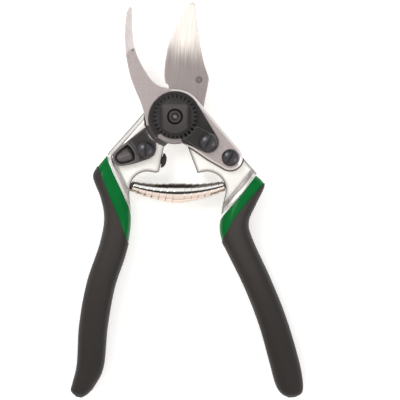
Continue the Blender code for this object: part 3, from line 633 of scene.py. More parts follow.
def bores(*spots, bottom=SCREW_HOLE_BOTTOM):
    """Cutters for the screws, which stop in a head or go through a plate."""
    return [drum(SCREW_BORE, bottom, ABOVE, spot, 32) for spot in spots]


def stud_bore(spot, way):
    return leaning(drum(STUD_BORE, -4.7, 4.6, sides=32), (*spot, SPRING_HEIGHT),
                   (way * math.cos(SPRING_SLOPE), -math.sin(SPRING_SLOPE), 0))


cut_away(left_head, drum(HEAD_CLEAR_RADIUS, EAR_TOP, ABOVE), drum(BUSH_BORE, BELOW, ABOVE, sides=64),
         drum(PIN_BORE, EAR_BOTTOM + 0.3, ABOVE, PIN_SPOT, 32), *bores(CATCH_PIVOT),
         leaning(drum(2.3, -4.3, 0.6, sides=32), BUMPER_SPOT, NOSE_WAY), stud_bore(SPRING_LEFT, 1))
# The round floor that the hub turns over, seen only through the gap round the hub, is made dark.
for point, tone in zip(left_head.data.vertices, left_head.data.attributes["tone_shift"].data):
    if point.co.xy.length < (HEAD_CLEAR_RADIUS + 0.05) * MM and point.co.z > (EAR_TOP - 0.1) * MM:
        tone.value = -0.9
fitted(left_head, satin_aluminium, "blade_side", "forged_aluminium", "left_handle")

HOOK_SCREW, SEGMENT_SCREW = (28.6, -21.1), (17.2, -13.2)
TANG_RADIUS = 6.4
right_inner = fair([(11.6, -29.1), (17.2, -28.2), (22.4, -30.2), (25.4, -34.0), (26.2, -38.5),
                    (24.8, -45.0), (23.9, -50.7)])
right_seam = [(23.9, -51.0), (35.08, -38.9), (42.45, -29.15)]
right_outer = [np.array((42.45, -29.15)), np.array((34.7, -20.4)), np.array((20.3, -3.4))]
right_free = right_outer + sweep(HEAD_CLEAR_RADIUS, -8, -67) + right_inner
tang_under = fair([(16.6, -21.6), (9.7, -16.8), (5.6, -14.6)])
tang_line = np.array(sweep(TANG_RADIUS, 30, -125, HOOK_SCREW) + tang_under)


def right_platform(points):
    """The trimmed outer edge, and a narrow recess that the tang lies down into along its edge."""
    return (0.34 * np.clip(1.6 - distance(points, right_outer), 0, 1.6)
            + 0.8 * step_up(distance(points, tang_line), 0.75, 0.45))


def right_painted_shade(points):
    """Painted shade darkens the recess round the tang, and a little the outer rim."""
    return (0.8 * step_up(distance(points, tang_line), 0.95, 0.5)
            + 0.2 * step_up(distance(points, right_outer), 1.9, 1.4))


right_head = head("right_forged_head", right_free, right_seam, RIGHT_BODY, right_platform, right_painted_shade, 0.70,
                  beside(right_outer, (-1.4, -1.6, -1.8))
                  + beside(tang_line, (1.2, 1.0, 0.8, 0.62, 0.45, 0.2, -0.2, -0.6)))
cut_away(right_head, *bores(SEGMENT_SCREW, HOOK_SCREW), stud_bore(SPRING_RIGHT, -1))
fitted(right_head, satin_aluminium, "hook_side", "forged_aluminium", "right_handle")

# ---- Bands and grips -------------------------------------------------------------------------------
# A glossy green plastic band closes each grip at the head, and the grip below it is a soft charcoal
# rubber sleeve, moulded over the forging's tail and closed at its end. Both follow the same rounded
# body, with the band set a little below the grip, and a fine seam where they meet.
BAND_STEP, SEAM_GAP, BAND_TUCK = 0.4, 0.3, 1.0
LEFT_HEAD_SEAM = [(-35.9, -13.0), (-35.2, -19.0), (-34.6, -23.0), (-31.8, -30.0), (-27.0, -40.0),
                  (-23.9, -46.5), (-22.6, -52.0), (-20.5, -62.0)]
LEFT_GRIP_SEAM = [(-44.0, -15.0), (-40.2, -25.0), (-34.0, -40.6), (-29.5, -51.0), (-24.7, -63.8),
                  (-20.5, -75.0)]
RIGHT_HEAD_SEAM = [(50.0, -19.5), (42.7, -29.1), (35.2, -39.0), (24.7, -51.2), (22.9, -54.0), (18.0, -62.0)]
RIGHT_GRIP_SEAM = [(56.0, -23.0), (46.3, -33.9), (37.0, -44.2), (30.8, -52.0), (25.4, -61.5), (20.5, -73.0)]


def upright(points):
    """A tall block over a plan outline, for cutting everything on one side of a seam."""
    shape = bmesh.new()
    floor = shape.faces.new([shape.verts.new((x * MM, y * MM, -10 * MM)) for x, y in points])
    lifted = bmesh.ops.extrude_face_region(shape, geom=[floor])["geom"]
    bmesh.ops.translate(shape, vec=(0, 0, 40 * MM), verts=[v for v in lifted if isinstance(v, bmesh.types.BMVert)])
    bmesh.ops.recalc_face_normals(shape, faces=shape.faces)
    return stood("block", meshed(shape, "block"))


def moved(seam, way, share):
    length = math.hypot(*way)
    return [(x + way[0] / length * share, y + way[1] / length * share) for x, y in seam]


green_gloss, shader, cloud = shaded("green_gloss", 0.25, 0.0, 90.0, 900.0, Specular_IOR_Level=0.05,
                                    Coat_Weight=0.08, Coat_Roughness=0.05)
feed(shader, Base_Color=tint(cloud, (0.0, 0.105, 0.018, 1), (0.0, 0.135, 0.026, 1)),
     Roughness=cloud.fade(0.3, 0.7, 0.18, 0.30))
bumped(shader, cloud, 0.25, 0.35)

charcoal_rubber, shader, cloud = shaded("charcoal_rubber", 0.62, 0.0, 45.0, 2600.0, (0.12, 0.5),
                                        Specular_IOR_Level=0.22, Sheen_Weight=0.05, Sheen_Roughness=0.5)
fine = placed(cloud.tree, blasted_grain, Clouds=420.0, Grain=900.0)["Tone"]
tone = tint(cloud, (0.018, 0.0145, 0.013, 1), (0.027, 0.022, 0.020, 1))
tone = tint(fine * 0.35, tone, (0.040, 0.033, 0.030, 1))
feed(shader, Base_Color=painted_light_and_marks(tone, (0.004, 0.003, 0.003, 1), (0.062, 0.056, 0.050, 1)),
     Roughness=cloud.fade(0.3, 0.7, 0.55, 0.70))


def grip_painted_light(rings, crown_highlight, shade_stripe_turn):
    """The grip's crown has a painted highlight, most near the head; its sides have painted shade, with a darker
    painted shade stripe beside the crown, and the grip is darker towards its end.
    """
    degrees = np.linspace(0, 360, len(rings[0]), endpoint=False)
    crown, shade_stripe = bell(degrees - 90, 38), bell(degrees - shade_stripe_turn, 13)
    return np.concatenate([
        crown_highlight * crown * step_up(ring[:, 1], -125, -40) - 0.25 * step_up(ring[:, 1], -60, -130)
        - 0.35 * shade_stripe * step_up(ring[:, 1], -150, -60) * step_up(ring[:, 1], -40, -50) - 0.30 * (1 - crown)
        for ring in rings])


for side, sections, head_seam, grip_seam, head_corners, grip_corners, way, crown_highlight, shade_stripe_turn, body in (
        ("left", LEFT_BODY, LEFT_HEAD_SEAM, LEFT_GRIP_SEAM, [(0, -60), (0, 10), (-40, 10)],
         [(-20, -180), (-90, -180), (-90, -13)], (0.913, 0.408), 0.28, 128, "blade_side"),
        ("right", RIGHT_BODY, RIGHT_HEAD_SEAM, RIGHT_GRIP_SEAM, [(0, -60), (0, 10), (50, 10)],
         [(18, -180), (100, -180), (100, -19)], (-0.776, 0.631), 0.45, 56, "hook_side")):
    band = lofted(side + "_green_band", handle_rings(sections, BAND_STEP, steps=12, sides=96))
    cut_away(band, upright(moved(head_seam, way, -SEAM_GAP / 2) + head_corners),
             upright(moved(grip_seam, way, -BAND_TUCK) + grip_corners))
    fitted(band, green_gloss, body, "green_plastic", side + "_grip_band")
    rings = handle_rings(sections, 0.0, steps=12, sides=96)
    grip = lofted(side + "_rubber_grip", rings, grip_painted_light(rings, crown_highlight, shade_stripe_turn))
    cut_away(grip, upright(moved(grip_seam, way, -SEAM_GAP / 2) + head_corners))
    fitted(grip, charcoal_rubber, body, "grip_rubber", side + "_grip")

# ---- Stop bumper and spring studs ----------------------------------------------------------------
# A half-round rubber button is pushed into the left nose on a stem, and the heads meet on it when the
# shears close. A blackened pin stands in each neck and holds one end of the spring.


def turned(name, profile, sides=96):
    """A turned piece from its profile of radius and height pairs, down the outer side, in millimetres."""
    mesh = bpy.data.meshes.new(name)
    mesh.from_pydata([(radius * MM, 0.0, height * MM) for radius, height in profile],
                     [(i, i + 1) for i in range(len(profile) - 1)], [])
    made = stood(name, mesh)
    lathe = made.modifiers.new("lathe", "SCREW")
    lathe.steps = lathe.render_steps = sides
    lathe.use_merge_vertices = True
    lathe.merge_threshold = 1e-6
    return settled(made)


black_rubber, shader, cloud = shaded("black_rubber", 0.55, 0.0, 200.0, 2200.0, (0.04, 0.5),
                                     Specular_IOR_Level=0.2)
feed(shader, Base_Color=tint(cloud, (0.018, 0.016, 0.015, 1), (0.032, 0.029, 0.027, 1)))

dome = [(3.9 * math.sin(turn), 0.3 + 2.4 * math.cos(turn)) for turn in np.linspace(0, math.pi / 2, 14)]
bumper = turned("stop_bumper_rubber", dome + [(2.0, 0.3), (2.0, -4.0), (0, -4.0)], 64)
fitted(leaning(bumper, BUMPER_SPOT, NOSE_WAY), black_rubber, "blade_side", "bumper_rubber", "stop_bumper")

# Black steel: chemically blackened, satin, a little warm, and rubbed paler on its edges.
black_steel, shader, cloud = shaded("black_steel", 0.42, 0.0, 130.0, 1600.0, (0.03, 0.6),
                                    Specular_IOR_Level=0.28)
tone = rim_wear_and_shade(tint(cloud, (0.015, 0.0125, 0.013, 1), (0.026, 0.0215, 0.022, 1)), 0.5,
              (0.12, 0.105, 0.105, 1), 0.45, 0.6, 350.0)
feed(shader, Base_Color=painted_light_and_marks(tone, (0.003, 0.003, 0.003, 1), (0.16, 0.14, 0.14, 1)),
     Roughness=cloud.fade(0.3, 0.7, 0.36, 0.5))

oiled_bronze, shader, cloud = shaded("oiled_bronze", 0.35, 1.0, 150.0, 1600.0)
feed(shader, Base_Color=tint(cloud, (0.42, 0.27, 0.12, 1), (0.62, 0.42, 0.20, 1)))
for look, plain in ((black_steel, ("left_spring_stud", "right_spring_stud", "blade_pin", "catch_washer")),
                    (oiled_bronze, ("pivot_bush", "thrust_washer"))):
    for name in plain:
        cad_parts[name].data.materials.clear()
        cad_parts[name].data.materials.append(look)

# ---- Cutting blade ----------------------------------------------------------------------------------
# The blade is hardened steel, blanked and ground flat on its upper face, with a long bevel ground on
# its back up to the curved cutting edge. Its outer half is polished almost white in streaks along the
# blade. It is keyed to the left ear by a pin, and a small ring is struck near its back.
BLADE_BOTTOM, BLADE_TOP = 8.6, 11.4
GRIND_WIDTH, GRIND_RISE = 6.5, 2.2
RING_MARK = (12.4, 19.3)
cutting_edge = fair([(-5.2, 18.3), (-5.6, 21.8), (-5.5, 26.1), (-4.9, 31.0), (-2.9, 40.5),
                     (0.1, 46.9), (3.3, 53.5), (6.2, 58.0), (9.2, 60.0)])
blade_back = fair([(10.6, 58.5), (11.1, 52.7), (12.0, 44.8), (13.2, 36.6), (15.1, 27.7),
                   (17.4, 20.6), (17.2, 17.5), (16.3, 12.6), (15.4, 8.0), (14.8, 3.8)])
wire_notch = fair([(-3.9, 14.6), (-3.4, 15.9), (-4.1, 17.2), (-5.1, 17.6)], steps=5)


def blade_top(points, edge):
    keen = distance(points, cutting_edge)
    return (BLADE_TOP - rounding(edge, 0.15) - 0.12 * np.clip(1 - keen / 0.7, 0, 1)
            - 0.07 * bell(away(points, RING_MARK) - 1.45, 0.27))


def blade_shade(points, edge):
    """The struck ring is dark, and the polished half is a little darker on its edges and its tip."""
    mark, along = away(points, RING_MARK), points[:, 1]
    rim = 0.13 * step_up(edge, 1.5, 0.1) * step_up(along, 26, 36) + 0.25 * step_up(along, 57, 60)
    return -np.maximum(0.78 * bell(mark - 1.35, 0.42), 0.4 * step_up(mark, 1.5, 1.2)) - rim


def blade_bottom(points, edge):
    keen = distance(points, cutting_edge)
    ground = np.clip(1 - keen / GRIND_WIDTH, 0, 1) * step_up(points[:, 1], 17.5, 21.5)
    return BLADE_BOTTOM + GRIND_RISE * ground + rounding(edge, 0.12)


mark_points = [point for radius in (0.5, 0.95, 1.2, 1.45, 1.7, 1.95, 2.4)
               for point in sweep(radius, 0, 348, RING_MARK, step=12)]
blade = forged("cutting_blade_steel", cutting_edge + blade_back + sweep(13.6, 2, -250) + wire_notch,
               blade_top, blade_bottom, rim=0.6, cell=1.1, spacing=0.45,
               extra=beside(cutting_edge, (-5.5, -6.3, -6.6)) + mark_points, shade=blade_shade)
cut_away(blade, drum(BUSH_BORE, BELOW, ABOVE, sides=64), drum(PIN_BORE, BELOW, ABOVE, PIN_SPOT, 32))

# Grinding lines: long thin streaks along Y, as a tone and as a height for bumps.
grinding_lines, given, out = effect("grinding_lines", ["Streaks"], Fineness=1500.0, Length=40.0, Lean=0.0)
leant = add(grinding_lines, "ShaderNodeVectorRotate", {"Vector": spot_on(grinding_lines), "Angle": given["Lean"]},
            rotation_type="Z_AXIS")
stretch = add(grinding_lines, "ShaderNodeCombineXYZ", {0: given["Fineness"], 1: given["Length"],
                                                       2: given["Fineness"]})
drawn_out = add(grinding_lines, "ShaderNodeVectorMath", {0: leant, 1: stretch}, operation="MULTIPLY")
plug(add(grinding_lines, "ShaderNodeTexNoise", {"Vector": drawn_out, "Scale": 1.0, "Detail": 3.0,
                                                "Roughness": 0.6}), out["Streaks"])

ground_steel, shader, cloud = shaded("ground_steel", 0.3, 1.0, 120.0, 1300.0, Specular_IOR_Level=0.3)
across, along, _ = apart(spot_on(cloud.tree))
broad, thin = (placed(cloud.tree, grinding_lines, Fineness=fineness, Length=length, Lean=0.06)["Streaks"]
               for fineness, length in ((700.0, 42.0), (1600.0, 60.0)))
polished = (across * 0.22 + along + (broad - 0.5) * (9 * MM) + (thin - 0.5) * (12 * MM)).fade(27 * MM, 45 * MM)
grey = tint(cloud, (0.35, 0.305, 0.295, 1), (0.44, 0.385, 0.375, 1))
grey = tint(thin.fade(0.35, 0.75, 0.0, 0.25), grey, (0.55, 0.49, 0.47, 1))
white = tint(thin.fade(0.3, 0.7), (0.84, 0.765, 0.71, 1), (0.94, 0.88, 0.82, 1))
steel = rim_wear_and_shade(tint(polished, grey, white), 0.4, (0.80, 0.75, 0.73, 1), 0.35, 0.3, 400.0)
feed(shader, Base_Color=painted_light_and_marks(steel, (0.06, 0.055, 0.055, 1)), Roughness=polished.fade(0.0, 1.0, 0.34, 0.5),
     Metallic=polished.fade(0.0, 1.0, 1.0, 0.7))
bumped(shader, thin, 0.012, 0.5)
fitted(blade, ground_steel, "blade_side", "blade_steel", "cutting_blade")

# ---- Counter blade -------------------------------------------------------------------------------------
# The hooked counter blade is one steel forging: hook, hub plate round the pivot, and a tang screwed to
# the right handle. Its outer half is stepped down a little and bevelled along the inside of the hook,
# and the hub and the tang have a ground chamfer. The small lug on the hub is what the catch locks on.
HOOK_BOTTOM, HOOK_TOP = 11.7, 16.0
HUB_RADIUS, HUB_FOOT_RADIUS, LUG_RADIUS, HUB_BORE = 14.5, 14.1, 15.6, 5.1
STEP_NOTCH, NOTCH_SHADOW = (-21.6, 34.6), (-21.8, 34.5)
hook_inner = fair([(-22.2, 56.5), (-22.1, 52.7), (-22.0, 44.8), (-20.8, 36.1), (-18.2, 28.9),
                   (-12.9, 20.0), (-8.2, 16.1), (-2.6, 14.6)])
hook_outer = fair([(-14.6, -4.7), (-15.5, -0.6), (-16.4, 2.8), (-17.8, 7.3), (-21.0, 14.9),
                   (-23.5, 22.1), (-25.7, 33.3), (-26.2, 44.8), (-25.5, 53.0), (-24.7, 55.9),
                   (-24.0, 56.9), (-22.9, 57.1)])
hub_and_tang = sweep(HUB_RADIUS, 92, 40) + sweep(TANG_RADIUS, 38, -125, HOOK_SCREW)
chamfered = hub_and_tang[:42]
lug = [at(LUG_RADIUS + (HUB_FOOT_RADIUS - LUG_RADIUS) * t, 228 - 21 * t) for t in np.linspace(0, 1, 12)]
STEP_LINE = np.array([(-26.5, 32.7), (-20.6, 35.4)])
step_square = squared(STEP_LINE[1:] - STEP_LINE[:1])[0]


def hook_top(points, edge):
    past = (points - STEP_LINE[0]) @ step_square
    bevel = np.clip(1.2 - distance(points, hook_inner), 0, 1.2) * step_up(past, 0.0, 1.5)
    return (HOOK_TOP - rounding(edge, 0.3) - 0.42 * np.clip(1.35 - distance(points, chamfered), 0, 1.35)
            - 0.12 * bevel - 0.22 * step_up(past, -0.1, 0.12) - 0.06 * bell(past, 0.2)
            - 0.12 * bell(away(points, STEP_NOTCH), 0.67) - 0.35 * np.clip(0.8 - distance(points, tang_line), 0, 0.8))


def hook_shade(points, edge):
    """Painted shadow on the step and round its notch, painted highlight on the ground chamfers and the bevel, and
    painted shade on the hub's foot; the hub's rim beside the catch is made dark.
    """
    past = (points - STEP_LINE[0]) @ step_square
    chamfer_highlight = np.maximum(step_up(distance(points, chamfered), 1.5, 1.2),
                        step_up(distance(points, tang_line), 0.95, 0.6))
    bevel = step_up(distance(points, hook_inner), 1.3, 1.1) * step_up(past, 0.3, 1.0)
    reach, turn = np.hypot(*points.T), np.degrees(np.arctan2(points[:, 1], points[:, 0])) % 360
    darkened_sector = 0.9 * step_up(abs(turn - 214), 20, 14) * step_up(reach, 12.8, 13.4)
    foot = step_up(abs(turn - 262), 32, 27) * (0.28 + 0.5 * step_up(reach, 13.4, 13.8))
    shadow = np.clip(0.45 * bell(past, 0.28) + 0.8 * bell(away(points, NOTCH_SHADOW), 0.707)
                     + np.maximum(darkened_sector, foot), 0, 0.95)
    return np.maximum(chamfer_highlight * 0.5, bevel * 0.3) * (shadow < 0.05) - shadow


def level(height, radius):
    """A flat face at a height with a rounded rim, which rises instead where the radius is negative."""
    return lambda points, edge: height - math.copysign(1, radius) * rounding(edge, abs(radius))


hook = forged("counter_blade_steel", hook_inner + hub_and_tang + tang_under + sweep(HUB_FOOT_RADIUS, -75, -131)
              + lug + [at(HUB_FOOT_RADIUS, 200.5)] + hook_outer, hook_top, level(HOOK_BOTTOM, -0.3),
              rim=0.5, cell=1.1, spacing=0.45,
              extra=beside(STEP_LINE, (-0.45, -0.25, -0.12, 0, 0.12, 0.25, 0.45))
              + beside(chamfered, (-1.2, -1.35, -1.5)) + beside(hook_inner, (-1.1, -1.2, -1.35))
              + [p for radius in (0.0, 0.3, 0.6, 0.9) for p in sweep(radius, 0, 320, STEP_NOTCH, step=40)]
              + beside(tang_line, (-0.45, -0.8, -0.95))
              + [p for radius in (12.8, 13.1, 13.4, 13.6, 13.85) for p in sweep(radius, 195, 295)],
              shade=hook_shade)
cut_away(hook, drum(HUB_BORE, BELOW, ABOVE, sides=64), *bores(SEGMENT_SCREW, HOOK_SCREW, bottom=BELOW))

forged_steel, shader, cloud = shaded("forged_steel", 0.34, 1.0, 2400.0, 1400.0, (0.02, 0.4))
across, along, _ = apart(spot_on(cloud.tree))
thin = placed(cloud.tree, grinding_lines, Fineness=1300.0, Length=150.0, Lean=-0.35)["Streaks"]
slow = placed(cloud.tree, blasted_grain, Clouds=60.0, Grain=1400.0)["Tone"]
step_lean = -step_square[0] / step_square[1]
step_height = STEP_LINE[0][1] - STEP_LINE[0][0] * step_lean
finer = (across * -step_lean + along).fade((step_height - 0.2) * MM, (step_height + 0.2) * MM)
rough = tint(cloud.fade(0.35, 0.65), (0.49, 0.43, 0.42, 1), (0.58, 0.51, 0.50, 1))
rough = tint(slow.fade(0.35, 0.65, 0.0, 0.06), rough, (0.60, 0.545, 0.53, 1))
ground = tint(thin.fade(0.3, 0.7), (0.70, 0.64, 0.62, 1), (0.86, 0.80, 0.77, 1))
steel = rim_wear_and_shade(tint(finer, rough, ground), 0.3, (0.86, 0.80, 0.78, 1), 0.5, 0.3, 400.0)
feed(shader, Base_Color=painted_light_and_marks(steel, (0.06, 0.055, 0.055, 1), (0.95, 0.92, 0.90, 1)),
     Roughness=cloud.fade(0.3, 0.7, 0.28, 0.40))
fitted(hook, forged_steel, "hook_side", "blade_steel", "counter_blade")

# ---- Nut plate, toothed nut and lock segment ------------------------------------------------------------
# A blackened steel plate, shaped like a teardrop, lies under the nut. The adjusting nut is a toothed
# flange with a boss that has two flats for the key, and a small toothed segment, screwed down beside
# it, meshes with its teeth and keeps it from turning.
PLATE_BOTTOM, PLATE_TOP, NUT_BOTTOM, FLANGE_TOP, NUT_TOP = 16.3, 17.8, 18.1, 20.6, 23.0
TOOTH_TIP, TOOTH_ROOT, TEETH = 11.5, 9.75, 30
BOSS_RADIUS, BOSS_FLATS, NUT_BORE = 8.6, 14.2, 4.05
teardrop = (fair([at(radius, turn) for radius, turn in (
    (14.3, 222), (14.3, 212), (14.25, 200), (14.1, 188), (13.8, 170), (13.55, 150), (13.4, 130))])
            + sweep(13.4, 127, 30) + sweep(5.5, 30, -112, SEGMENT_SCREW)
            + fair([(10.0, -15.9), (6.4, -14.5), (3.8, -13.2)]) + sweep(11.5, -75, -130) + [at(14.4, -136)])
nut_plate = forged("nut_plate_black", teardrop, level(PLATE_TOP, 0.5), level(PLATE_BOTTOM, -0.2), rim=0.5,
                   cell=1.3, spacing=0.5)
cut_away(nut_plate, drum(HUB_BORE, BELOW, ABOVE, sides=64), *bores(SEGMENT_SCREW, bottom=BELOW))
fitted(nut_plate, black_steel, "hook_side", "black_steel", "nut_plate")

PITCH = 360 / TEETH
segment_teeth = [at(radius, -66 + PITCH * (tooth + offset)) for tooth in range(4)
                 for offset, radius in ((-0.26, 12.0), (-0.15, 10.6), (0.15, 10.6), (0.26, 12.0))]
segment = forged("lock_segment_black", [at(12.0, -73.2)] + segment_teeth + [at(12.0, -22.8)]
                 + sweep(5.2, 42, -118, SEGMENT_SCREW), level(FLANGE_TOP, 0.4), level(NUT_BOTTOM, -0.2),
                 rim=0.4, cell=1.2, spacing=0.4)
cut_away(segment, *bores(SEGMENT_SCREW, bottom=BELOW))
fitted(segment, black_steel, "hook_side", "black_steel", "lock_segment")


def pattern(name, *sizes, **others):
    """A Geometry Nodes tree with named inputs: numbers for its sizes, others by kind, and a finish."""
    tree = bpy.data.node_groups.new(name, "GeometryNodeTree")
    kinds = {"Geometry": "Geometry", **dict.fromkeys(sizes, "Float"), **others, "Finish": "Material"}
    for label, kind in kinds.items():
        tree.interface.new_socket(label.replace("_", " "), in_out="INPUT", socket_type="NodeSocket" + kind)
    tree.interface.new_socket("Geometry", in_out="OUTPUT", socket_type="NodeSocketGeometry")
    return tree, outputs(tree.nodes.new("NodeGroupInput"))


def close_tree(geometry, finish):
    """Ends a tree in Realize Instances and Set Material."""
    real = add(geometry.tree, "GeometryNodeRealizeInstances", {0: geometry})
    plug(add(geometry.tree, "GeometryNodeSetMaterial", {"Geometry": real, "Material": finish}),
         geometry.tree.nodes.new("NodeGroupOutput").inputs[0])


def grown(name, tree, start, sizes, bevel=0.0):
    """The plain mesh that a tree makes from a start mesh and its sizes."""
    made = stood(name, start)
    grower = made.modifiers.new("grower", "NODES")
    grower.node_group = tree
    for item in tree.interface.items_tree:
        if item.in_out == "INPUT" and item.name in sizes:
            grower[item.identifier] = sizes[item.name]
    if bevel:
        settled(made)
        rim = made.modifiers.new("rim", "BEVEL")
        rim.width, rim.segments, rim.limit_method, rim.angle_limit = bevel * MM, 3, "ANGLE", math.radians(35)
    return settled(made)


def vector(tree, x, y, z):
    return add(tree, "ShaderNodeCombineXYZ", {0: x, 1: y, 2: z})


def scaled(geometry, x, y, z):
    """Sets each point to worked-out x, y and z."""
    return add(geometry.tree, "GeometryNodeSetPosition", {
        "Geometry": geometry, "Position": vector(geometry.tree, x, y, z)})


def cylinder(tree, vertices, radius=1.0, depth=2.0):
    return add(tree, "GeometryNodeMeshCylinder", {"Vertices": vertices, "Radius": radius, "Depth": depth})


nut_tree, given = pattern("toothed_nut", "Root Radius", "Tip Radius", "Bottom", "Flange Top", "Boss Radius",
                          "Boss Flats", "Nut Top", "Bore", Teeth="Int")
px, py, pz = apart(add(nut_tree, "GeometryNodeInputPosition"))
from_gap = abs(add(nut_tree, "GeometryNodeInputIndex") % 8.0 - 4.0) / 4.0
tooth_radius = from_gap.fade(0.62, 0.30) * (given["Tip Radius"] - given["Root Radius"]) + given["Root Radius"]
half = (given["Flange Top"] - given["Bottom"]) * 0.5
flange = scaled(cylinder(nut_tree, given["Teeth"] * 8.0), px * tooth_radius, py * tooth_radius,
                pz * half + (given["Bottom"] + half))
flat = given["Boss Flats"] * 0.5
rise = (given["Nut Top"] - given["Flange Top"]) * 0.5
boss = scaled(cylinder(nut_tree, 144),
              (px * given["Boss Radius"]).math("MINIMUM", flat).math("MAXIMUM", flat * -1.0),
              py * given["Boss Radius"], (pz + -0.2) * (rise * 1.25) + (given["Flange Top"] + rise))
whole = node(nut_tree, "GeometryNodeMeshBoolean", operation="UNION")
for part in (flange, boss):
    plug(part, whole.inputs["Mesh 2"])
close_tree(add(nut_tree, "GeometryNodeMeshBoolean", {
    "Mesh 1": Flow(whole.outputs[0]), "Mesh 2": cylinder(nut_tree, 64, given["Bore"], 0.1)},
    operation="DIFFERENCE"), given["Finish"])

nut_black, shader, cloud = shaded("nut_black", 0.45, 0.0, 130.0, 1600.0, (0.03, 0.6), Specular_IOR_Level=0.28)
across, along, above = apart(spot_on(cloud.tree))
# Painted highlight on the top of the boss, stronger towards its upper end, and painted shade in bands beside the two
# flats.
boss_top_highlight = above.fade(22.4 * MM, 22.7 * MM) * along.fade(7.0 * MM, 5.4 * MM)
tone = tint(cloud, (0.019, 0.0162, 0.0165, 1), (0.032, 0.027, 0.0275, 1))
tone = tint(boss_top_highlight, tone, (0.040, 0.036, 0.0345, 1))
tone = tint(boss_top_highlight * along.fade(-7 * MM, 8 * MM, 0.0, 0.6), tone, (0.085, 0.074, 0.072, 1))
shade_beside_flats = abs(abs(across) - 7.0 * MM).fade(1.5 * MM, 0.3 * MM) * abs(along).fade(7 * MM, 4 * MM, 0.0, 0.75)
feed(shader, Base_Color=tint(shade_beside_flats, tone, (0.009, 0.008, 0.008, 1)))
nut = grown("pivot_nut_toothed", nut_tree, bpy.data.meshes.new("pivot_nut"), {
    "Teeth": TEETH, "Root Radius": TOOTH_ROOT * MM, "Tip Radius": TOOTH_TIP * MM, "Bottom": NUT_BOTTOM * MM,
    "Flange Top": FLANGE_TOP * MM, "Boss Radius": BOSS_RADIUS * MM, "Boss Flats": BOSS_FLATS * MM,
    "Nut Top": NUT_TOP * MM, "Bore": NUT_BORE * MM, "Finish": nut_black}, bevel=0.22)
fitted(nut, nut_black, "hook_side", "black_steel", "pivot_nut")

# ---- Pivot bolt -------------------------------------------------------------------------------------------
# The black steel bolt runs up from its wide flat head, under the left ear, through every layer to the
# nut. Its threaded end is chamfered and centre-drilled, and its head has a hexagon socket.
bolt = turned("pivot_bolt_turned", [
    (0, 21.75), (0.45, 21.8), (1.0, 22.2), (1.75, 22.62), (2.05, 22.7), (2.75, 22.7), (3.1, 22.6), (3.7, 22.05),
    (3.75, 21.9), (3.75, 17.8), (4.8, 17.8), (4.8, 3.0), (8.7, 3.0), (8.95, 2.85), (9.0, 2.6), (9.0, 1.0),
    (8.9, 0.65), (8.25, 0.08), (8.0, 0.0), (0, 0)])
cut_away(bolt, drum(3.2, -1, 1.8, sides=6))
bolt_black, shader, cloud = shaded("bolt_black", 0.32, 0.1, 300.0, 1600.0, (0.02, 0.4), Specular_IOR_Level=0.15)
across, along, _ = apart(spot_on(cloud.tree))
off_axis = (across * across + along * along).math("SQRT")
turned_ring = off_axis.fade(2.0 * MM, 2.2 * MM) * off_axis.fade(3.1 * MM, 2.8 * MM)
tone = tint(cloud, (0.014, 0.012, 0.012, 1), (0.030, 0.026, 0.025, 1))
tone = tint(turned_ring * 0.25, tone, (0.16, 0.14, 0.135, 1))
# The centre drill carries a painted highlight.
feed(shader, Base_Color=tint(off_axis.fade(1.3 * MM, 0.6 * MM), tone, (0.17, 0.15, 0.145, 1)))
fitted(bolt, bolt_black, "hook_side", "black_steel", "pivot_bolt")

# ---- Slotted screws -------------------------------------------------------------------------------------
# Three blackened screws with domed heads and one wide slot each: one holds the catch on the left head,
# one the lock segment, and one the counter blade's tang on the right head.
SCREW_DOME, SLOT_WIDTH, SLOT_DEPTH, SHANK_RADIUS = 2.45, 0.95, 1.3, 2.4
CATCH_SEAT, SEGMENT_SEAT, HOOK_SEAT = 16.9, 20.9, 16.3


def merged(geometry):
    return add(geometry.tree, "GeometryNodeMergeByDistance", {"Geometry": geometry, "Distance": 1e-6})


def shifted(geometry, by):
    return add(geometry.tree, "GeometryNodeTransform", {"Geometry": geometry, "Translation": by})


screw_tree, given = pattern("slotted_screws", "Head Radius", "Dome Height", "Slot Width", "Slot Depth",
                            "Shank Radius")
px, py, pz = apart(add(screw_tree, "GeometryNodeInputPosition"))
ball = add(screw_tree, "GeometryNodeMeshUVSphere", {"Segments": 72, "Rings": 40, "Radius": 1.0})
dome = merged(scaled(ball, px * given["Head Radius"], py * given["Head Radius"],
                     pz.math("MAXIMUM", -0.02) * given["Dome Height"]))
slot_size = vector(screw_tree, given["Head Radius"] * 2.4, given["Slot Width"], given["Slot Depth"] * 2.0)
slot_block = shifted(add(screw_tree, "GeometryNodeMeshCube", {"Size": slot_size}),
                     vector(screw_tree, 0.0, 0.0, given["Dome Height"]))
slotted = add(screw_tree, "GeometryNodeMeshBoolean", {"Mesh 1": dome, "Mesh 2": slot_block},
              operation="DIFFERENCE")
shank = shifted(cylinder(screw_tree, 40, given["Shank Radius"], 1.0), (0.0, 0.0, -0.5))
slot_turn, shank_reach = (add(screw_tree, "GeometryNodeInputNamedAttribute", {"Name": label}, data_type="FLOAT")
                          for label in ("slot_turn", "shank_reach"))
both = node(screw_tree, "GeometryNodeJoinGeometry")
for part, setting, value in ((slotted, "Rotation", vector(screw_tree, 0.0, 0.0, slot_turn)),
                             (shank, "Scale", vector(screw_tree, 1.0, 1.0, shank_reach))):
    plug(add(screw_tree, "GeometryNodeInstanceOnPoints", {
        "Points": given["Geometry"], "Instance": part, setting: value}), both.inputs[0])
close_tree(Flow(both.outputs[0]), given["Finish"])

